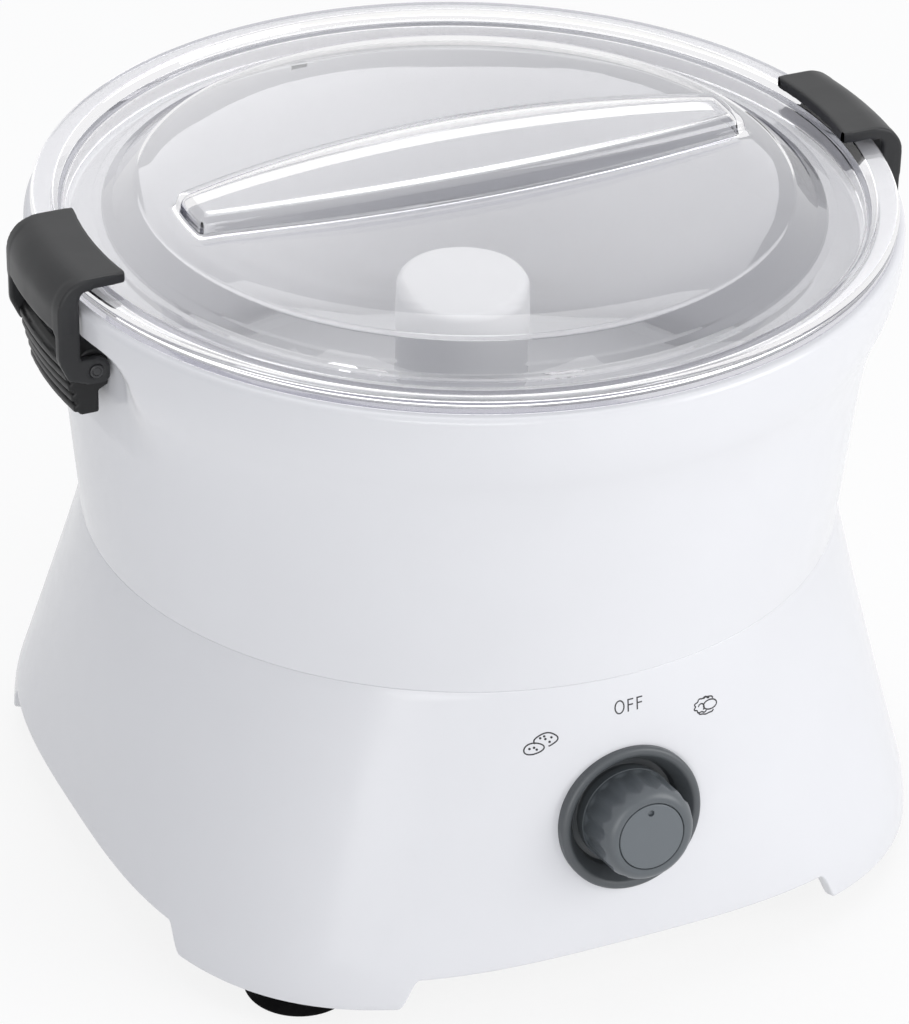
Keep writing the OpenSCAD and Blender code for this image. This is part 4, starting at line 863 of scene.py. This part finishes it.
def bracket_gap(edge):
    """Distance to the right-hand latch bracket, below zero inside it"""
    top, ribs_count, groove = PIN_Z + BARREL_R, 5, 1.2
    pitch = (top - 2 - BRACKET_Z - 1) / ribs_count
    set_back = BRACKET_R + 3.2
    corners = [(BRACKET_R, top - 4, 0.3), (BRACKET_R, BRACKET_Z + 8.5, 0.5), (set_back, BRACKET_Z + 7, 0.8),
               (set_back, BRACKET_Z, 0.6), (grip_radius(BRACKET_Z) - 1.8, BRACKET_Z, 0.6)]
    for k in range(ribs_count):
        z = BRACKET_Z + 1 + k * pitch
        corners += [(grip_radius(z) - groove, z, 0.25), (grip_radius(z + pitch * 0.55), z + 0.3, 0.4),
                    (grip_radius(z + pitch * 0.6), z + pitch * 0.6, 0.4),
                    (grip_radius(z + pitch) - groove, z + pitch * 0.7, 0.25)]
    corners += [(grip_radius(top) - groove, top - 2, 0.5), (grip_radius(top) - 3, top - 0.6, 0.6),
                (BRACKET_R + 6.5, top - 3, 2)]
    section = rounded(corners, 4)

    def gap(points):
        x, y, z = points[..., 0], points[..., 1], points[..., 2]
        reach = np.hypot(x, y)
        width = np.abs(y) - BRACKET_HALF
        from_pin = np.hypot(x - PIN_X, z - PIN_Z)
        ribs = meet(outline_gap(reach, z, section), width, edge * 0.6)
        barrel = meet(meet(from_pin - BARREL_R, width, edge * 0.6), BRACKET_R - reach, 0.3)
        return np.maximum(np.minimum(ribs, barrel), PIN_BORE - from_pin)

    return gap


class PEELER_OT_latches(bpy.types.Operator):
    """Two latch hooks over the lid, with their ribbed brackets and pins"""
    bl_idname = "peeler.latches"
    bl_label = "Latches"

    def execute(self, context):
        sizes = context.scene.peeler_sizes
        edge, cell = sizes.edge_round / MM, sizes.skin_cell / MM
        hook = moulded_skin(hook_gap(edge), (LATCH_TIP - 1, -LATCH_HALF, PIN_Z - EAR_R),
                            (LATCH_FACE, LATCH_HALF, LATCH_TOP), cell)
        bracket = moulded_skin(bracket_gap(edge), (BRACKET_R - 0.5, -BRACKET_HALF, BRACKET_Z),
                               (LATCH_FACE, BRACKET_HALF, PIN_Z + BARREL_R), cell * 0.85)
        half = LATCH_HALF
        end = [(0, half - 0.1, 0), (1.1, half - 0.1, 0.1), (1.25, half - 0.35, 0.1), (1.4, half, 0.1),
               (PIN_R, half, 0.3)]
        pin = rounded([(r, -z, radius) for r, z, radius in end] + end[::-1])
        pin_points, pin_faces = spun(pin, 48, False)
        pin_points = pin_points[:, [0, 2, 1]] + (PIN_X, 0, PIN_Z)
        for side, sign in (("left", -1), ("right", 1)):
            for name, (points, faces), finish, body, node in (
                    ("latch_cover_", hook, "latch_grey", "latch_" + side, "latch_hook_"),
                    ("latch_ribs_", bracket, "bracket_grey", "bowl", "latch_bracket_"),
                    ("latch_axle_", (pin_points, pin_faces), "pin_grey", "bowl", "latch_pin_")):
                piece = raw_piece(name + side, points * (sign, 1, 1), faces)
                dress(piece, finish, body, [node + side], crease=50)
        return {"FINISHED"}


# ---------------------------------------------------------------- disc

class PEELER_OT_disc(bpy.types.Operator):
    """White peeling disc with low radial ridges, blade slots and a tall hub"""
    bl_idname = "peeler.disc"
    bl_label = "Peeling disc"

    def execute(self, context):
        pocket, step = 164.3, 151
        hub = rounded([(0, pocket, 0), (12.2, pocket, 0), (12.2, step, 0.3), (14.2, step, 0.3),
                       (14.2, DISC_Z, 0.4), (DISC_R, DISC_Z, 0.8), (DISC_R, DISC_TOP + 1, 0.7),
                       (DISC_R - 3, DISC_TOP + 1, 0.8),
                       (DISC_R - 6, DISC_TOP, 1.5), (DISC_R - 9, DISC_TOP, 0)], 5)
        plain = [(r, DISC_TOP) for r in np.linspace(DISC_R - 12, HUB_R + 8, 40)]
        neck = rounded([(HUB_R + 8, DISC_TOP, 0), (HUB_R, DISC_TOP, 5), (HUB_R - 0.15, HUB_TOP, 2.6),
                        (0, HUB_TOP, 0)], 8)
        outline = np.vstack([hub, plain, neck])
        points, faces = spun(outline, 288, closed=False)
        radius = np.hypot(points[:, 0], points[:, 1])
        angle = np.degrees(np.arctan2(points[:, 1], points[:, 0]))
        off = np.minimum(np.abs((angle + 60) % 120 - 60), 60)
        across = radius * np.sin(np.radians(off))
        crest = np.maximum(np.sqrt(np.maximum(14.0 ** 2 - across ** 2, 0)) - 10, 0)
        fade = smooth((DISC_R - 8.5 - radius) / 5) * smooth((radius - HUB_R - 5) / 5)
        flat = np.abs(points[:, 2] - DISC_TOP) < 1e-6
        points[:, 2] += np.where(flat & (off < 60), crest * fade, 0)
        piece = raw_piece("disc_skin", points, faces)
        tools = []
        for k in range(3):
            turn = Matrix.Rotation(math.radians(60 + 120 * k), 4, "Z")
            slot = box_tool((42, -3, DISC_Z - 1), (90, 3, DISC_TOP + 3))
            slot.data.transform(turn)
            tools.append(slot)
        dress(cut(piece, *tools), "white_disc", "disc", ["peeling_disc"])
        return {"FINISHED"}


# ---------------------------------------------------------------- lid

def lid_height(r):
    """Height of the lid's raised middle at a distance from its axis"""
    known = np.array(LID_UPPER)
    r = np.clip(r, 0, known[-1, 0])
    tangent = np.gradient(known[:, 1], known[:, 0])
    i = np.clip(np.searchsorted(known[:, 0], r) - 1, 0, len(known) - 2)
    span = known[i + 1, 0] - known[i, 0]
    return hermite((r - known[i, 0]) / span, span, known[i, 1], tangent[i], known[i + 1, 1], tangent[i + 1])


class PEELER_OT_lid(bpy.types.Operator):
    """Clear lid with a stepped rim, a raised middle and a long hollow grip"""
    bl_idname = "peeler.lid"
    bl_label = "Lid"

    def execute(self, context):
        dress(raw_piece("lid_skin", *lid_skin()), "clear_plastic", "lid", ["lid_shell"], crease=40)
        return {"FINISHED"}


def grip_ring(offset):
    """Plan points of the grip's outline, moved out by an offset and softened at its corners"""
    half_l, half_w, end_w = GRIP_HALF + offset, 19.5 + offset, 9.5 + offset
    dw = half_w - end_w
    big = (half_l ** 2 + dw ** 2) / (2 * dw)
    x = half_l * np.cos(np.linspace(0.0, np.pi, GRIP_STEPS + 1))
    x = 0.35 * x + 0.65 * np.linspace(half_l, -half_l, GRIP_STEPS + 1)
    x = x * math.sqrt(1 - (end_w / half_l) ** 2)
    upper = np.stack([x, np.sqrt(big ** 2 - x ** 2) - (big - half_w)], -1)
    start = math.atan2(upper[-1, 1], upper[-1, 0])
    cap_a = np.linspace(start, 2 * math.pi - start, GRIP_END_STEPS + 1)[1:-1]
    cap_r = math.hypot(*upper[-1])
    cap = np.stack([cap_r * np.cos(cap_a), cap_r * np.sin(cap_a)], -1)
    ring = np.vstack([upper, cap, -upper, -cap])
    for _ in range(2):
        ring = 0.5 * ring + 0.25 * (np.roll(ring, 1, axis=0) + np.roll(ring, -1, axis=0))
    return ring


def lid_face(drop, edge, foot_round):
    """Rings of one face of the lid, from the grip's spine out to the raised middle's edge"""
    end_drop = 3.5
    rings = []

    def add(plan, height):
        rings.append(np.column_stack([plan, height]))

    def height_on_grip(ring):
        along = np.clip(np.hypot(ring[:, 0], ring[:, 1]) / GRIP_HALF, 0, 1)
        return GRIP_TOP - drop - end_drop * along ** 2

    def ground(plan):
        return lid_height(np.hypot(plan[:, 0], plan[:, 1])) - drop

    rim = grip_ring(-drop - edge)
    spine = rim * (0.93, 0.0)
    for s in np.linspace(0, 1, 9):
        plan = spine + (rim - spine) * s
        add(plan, height_on_grip(plan))
    for t in np.linspace(0.12, np.pi / 2, 7):
        add(grip_ring(-drop - edge + edge * math.sin(t)), height_on_grip(rim) - edge * (1 - math.cos(t)))
    wall = rings[-1].copy()
    foot = grip_ring(-drop + GRIP_FOOT)
    base = ground(foot) + foot_round
    for s in (0.33, 0.66, 1.0):
        add(wall[:, :2] + (foot - wall[:, :2]) * s, wall[:, 2] + (base - wall[:, 2]) * s)
    for t in np.linspace(0.2, np.pi / 2, 6):
        plan = grip_ring(-drop + GRIP_FOOT + foot_round * (1 - math.cos(t)))
        add(plan, ground(plan) + foot_round * (1 - math.sin(t)))
    last = rings[-1][:, :2]
    angles = lid_angles(last)
    circle = flat_ring(angles, LID_JOIN, 0)[:, :2]
    for s in np.linspace(0, 1, 17)[1:]:
        plan = last + (circle - last) * s
        add(plan, ground(plan))
    return rings, angles


def lid_angles(ring):
    """Angles round the lid for the points of the grip's outline, spread out from its ends"""
    count = len(ring)
    t = np.arange(count) / count
    own = np.unwrap(np.arctan2(ring[:, 1], ring[:, 0]))
    own = own - own[0]
    even = 2 * np.pi * t
    return 0.9 * even + 0.1 * own + math.atan2(ring[0, 1], ring[0, 0]) * 0.35


def lid_skin():
    """Points and faces of the whole clear shell"""
    upper, angles = lid_face(0.0, 3.5, 1.6)
    lower, _ = lid_face(LID_WALL, 1.8, 1.0)
    crown = lid_height(np.array(LID_JOIN)).item()
    inner_r, spigot_z = SPIGOT_R - LID_WALL, 191.5
    rim = rounded([
        (LID_JOIN, crown, 0), (95, 204.9, 2.5), (101.5, 200.0, 3.0), (104.5, 198.1, 1.4), (107.5, 197.9, 1.2),
        (115.6, 199.4, 1.5), (117.0, 200.0, 1.0), (118.4, LID_TOP, 0.7), (LID_R, LID_TOP, 1.5),
        (LID_R, LID_Z, 0.8), (SPIGOT_R, LID_Z, 0.3), (SPIGOT_R, spigot_z, 0.8), (inner_r, spigot_z, 0.6),
        (inner_r, 197.2, 0.8),
        (107.5, 195.6, 1.2), (104.5, 195.7, 1.4), (100.6, 197.9, 2.0), (94.4, 202.6, 2.0),
        (LID_JOIN, crown - LID_WALL, 0)], 6)
    rings = upper + [flat_ring(angles, r, z) for r, z in rim[1:-1]] + lower[::-1]
    return np.concatenate(rings), grid_faces(len(rings), len(angles))


# ---------------------------------------------------------------- inner pieces and stage

INNER = {
    "pale_plastic": ("deck", "bottom_cover"),
    "steel": ("cover_screws", "motor_screws", "gear_plate_spacers", "gear_plate_screws", "board_screws",
              "switch_nut", "switch_spindle", "main_shaft", "shaft_collar", "lay_shaft", "motor_shaft",
              "blade_rivets"),
    "plate_steel": ("gear_plate_lower", "gear_plate_upper"),
    "motor_can": ("motor",),
    "bush_bronze": ("shaft_bush_lower", "shaft_bush_upper", "layshaft_bushes", "motor_pinion"),
    "seal_rubber": ("deck_seal", "chimney_seal"),
    "gland_rubber": ("cord_gland",),
    "switch_black": ("rotary_switch",),
    "board_green": ("control_board",),
    "gear_nylon": ("output_gear", "compound_gear"),
    "blade_steel": ("peeling_blades",),
    "socket_plastic": ("hub_socket",),
}


class PEELER_OT_inner(bpy.types.Operator):
    """Finishes of the drive, screws, seals and other pieces that keep their solids"""
    bl_idname = "peeler.inner"
    bl_label = "Inner pieces"

    def execute(self, context):
        for finish, names in INNER.items():
            for name in names:
                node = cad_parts[name]
                for slot in node.material_slots:
                    slot.material = FINISHES[finish]
                if not node.material_slots:
                    raise RuntimeError(name + " has no material slot")
        return {"FINISHED"}


def area_lamp(name, spot, size, power):
    """A soft white lamp that points at the seam of base and bowl"""
    data = bpy.data.lights.new(name, "AREA")
    data.shape = "RECTANGLE"
    data.size, data.size_y = size
    data.energy = power
    lamp = bpy.data.objects.new(name, data)
    lamp.location = spot
    lamp.rotation_euler = (Vector(LAMP_AIM) - Vector(spot)).to_track_quat("-Z", "Y").to_euler()
    bpy.context.scene.collection.objects.link(lamp)


class PEELER_OT_stage(bpy.types.Operator):
    """Pale floor, soft lamps, even room light and the camera"""
    bl_idname = "peeler.stage"
    bl_label = "Stage"

    def execute(self, context):
        stage = context.scene.peeler_stage
        scene = context.scene
        scene.view_settings.view_transform = "Standard"
        material = bpy.data.materials.new("floor")
        material.use_nodes = True
        tree = material.node_tree
        shader = tree.nodes["Principled BSDF"]
        tone = stage.floor_tone
        shader.inputs["Base Color"].default_value = (tone, tone, tone, 1)
        shader.inputs["Roughness"].default_value = 0.9
        shader.inputs["Specular IOR Level"].default_value = 0.1
        glow = tree.nodes.new("ShaderNodeEmission")
        scale = tree.nodes.new("ShaderNodeMath")
        scale.operation = "MULTIPLY"
        scale.inputs[1].default_value = stage.floor_glow
        tree.links.new(seen_rays(tree), scale.inputs[0])
        mix = mix_shaders(tree, scale.outputs[0], shader.outputs["BSDF"], glow.outputs["Emission"])
        tree.links.new(mix, tree.nodes["Material Output"].inputs["Surface"])
        points, faces = spun([(0, 0), (400, 0), (1500, 0), (9000, 0)], 96, closed=False)
        mesh = bpy.data.meshes.new("floor")
        mesh.from_pydata((points * MM).tolist(), [], faces)
        mesh.materials.append(material)
        floor = bpy.data.objects.new("floor", mesh)
        scene.collection.objects.link(floor)

        world = bpy.data.worlds.new("room")
        scene.world = world
        world.use_nodes = True
        tree = world.node_tree
        room = tree.nodes["Background"]
        room.inputs["Color"].default_value = (0.93, 0.95, 1.0, 1)
        room.inputs["Strength"].default_value = stage.sky
        backdrop = tree.nodes.new("ShaderNodeBackground")
        backdrop.inputs["Color"].default_value = (1, 1, 1, 1)
        mix = mix_shaders(tree, seen_rays(tree), room.outputs["Background"], backdrop.outputs["Background"])
        tree.links.new(mix, tree.nodes["World Output"].inputs["Surface"])

        area_lamp("main lamp", (1.5, -1.3, 0.95), (1.3, 1.3), stage.key_power)
        area_lamp("front lamp", (-0.85, -1.75, 0.5), (1.2, 0.9), stage.fill_power)
        area_lamp("top lamp", (0.2, 0.5, 1.8), (1.4, 1.4), stage.top_power)

        data = bpy.data.cameras.new("camera")
        data.lens = stage.lens
        data.sensor_width = 36
        data.sensor_fit = "AUTO"
        data.shift_x = -0.0032
        camera = bpy.data.objects.new("camera", data)
        spot, aim = Vector((-0.4889, -1.0432, 0.7904)), Vector((0, 0, 0.0917))
        ahead = (aim - spot).normalized()
        right = ahead.cross(Vector((0, 0, 1))).normalized()
        up = right.cross(ahead)
        roll = math.radians(1.32)
        side = math.cos(roll) * right + math.sin(roll) * up
        rise = -math.sin(roll) * right + math.cos(roll) * up
        turn = Matrix((side, rise, -ahead)).transposed()
        camera.matrix_world = Matrix.Translation(spot) @ turn.to_4x4()
        scene.collection.objects.link(camera)
        scene.camera = camera
        return {"FINISHED"}


def seen_rays(tree):
    """1 for the rays of the camera, of reflections and of clear pieces, otherwise 0"""
    path = tree.nodes.new("ShaderNodeLightPath")
    last = path.outputs["Is Camera Ray"]
    for name in ("Is Glossy Ray", "Is Transmission Ray"):
        both = tree.nodes.new("ShaderNodeMath")
        both.operation = "MAXIMUM"
        tree.links.new(last, both.inputs[0])
        tree.links.new(path.outputs[name], both.inputs[1])
        last = both.outputs[0]
    return last


# ---------------------------------------------------------------- panel, registration, run

STEPS = ("base", "feet", "bezel", "knob", "marks", "bowl", "latches", "disc", "lid", "inner", "stage")


class PEELER_PT_sidebar(bpy.types.Panel):
    """Buttons that build each group of pieces"""
    bl_idname = "PEELER_PT_sidebar"
    bl_label = "Potato peeler"
    bl_space_type = "VIEW_3D"
    bl_region_type = "UI"
    bl_category = "Peeler"

    def draw(self, context):
        for group in (context.scene.peeler_colours, context.scene.peeler_sizes, context.scene.peeler_stage):
            box = self.layout.box()
            for name in group.__annotations__:
                box.prop(group, name)
        for step in STEPS:
            self.layout.operator("peeler." + step)


GROUPS = {"peeler_colours": PeelerColours, "peeler_sizes": PeelerSizes, "peeler_stage": PeelerStage}
CLASSES = (*GROUPS.values(), PEELER_OT_base, PEELER_OT_feet, PEELER_OT_bezel, PEELER_OT_knob, PEELER_OT_marks,
           PEELER_OT_bowl, PEELER_OT_latches, PEELER_OT_disc, PEELER_OT_lid, PEELER_OT_inner, PEELER_OT_stage,
           PEELER_PT_sidebar)


def register():
    """Registers the classes and the scene's settings"""
    for item in CLASSES:
        bpy.utils.register_class(item)
    for name, group in GROUPS.items():
        setattr(bpy.types.Scene, name, PointerProperty(type=group))


def unregister():
    """Takes the settings and the classes away again"""
    for name in GROUPS:
        delattr(bpy.types.Scene, name)
    for item in reversed(CLASSES):
        bpy.utils.unregister_class(item)


def main():
    """Builds every piece"""
    register()
    mix_finishes(bpy.context.scene.peeler_colours)
    for step in STEPS:
        getattr(bpy.ops.peeler, step)()


if __name__ == "__main__":
    main()
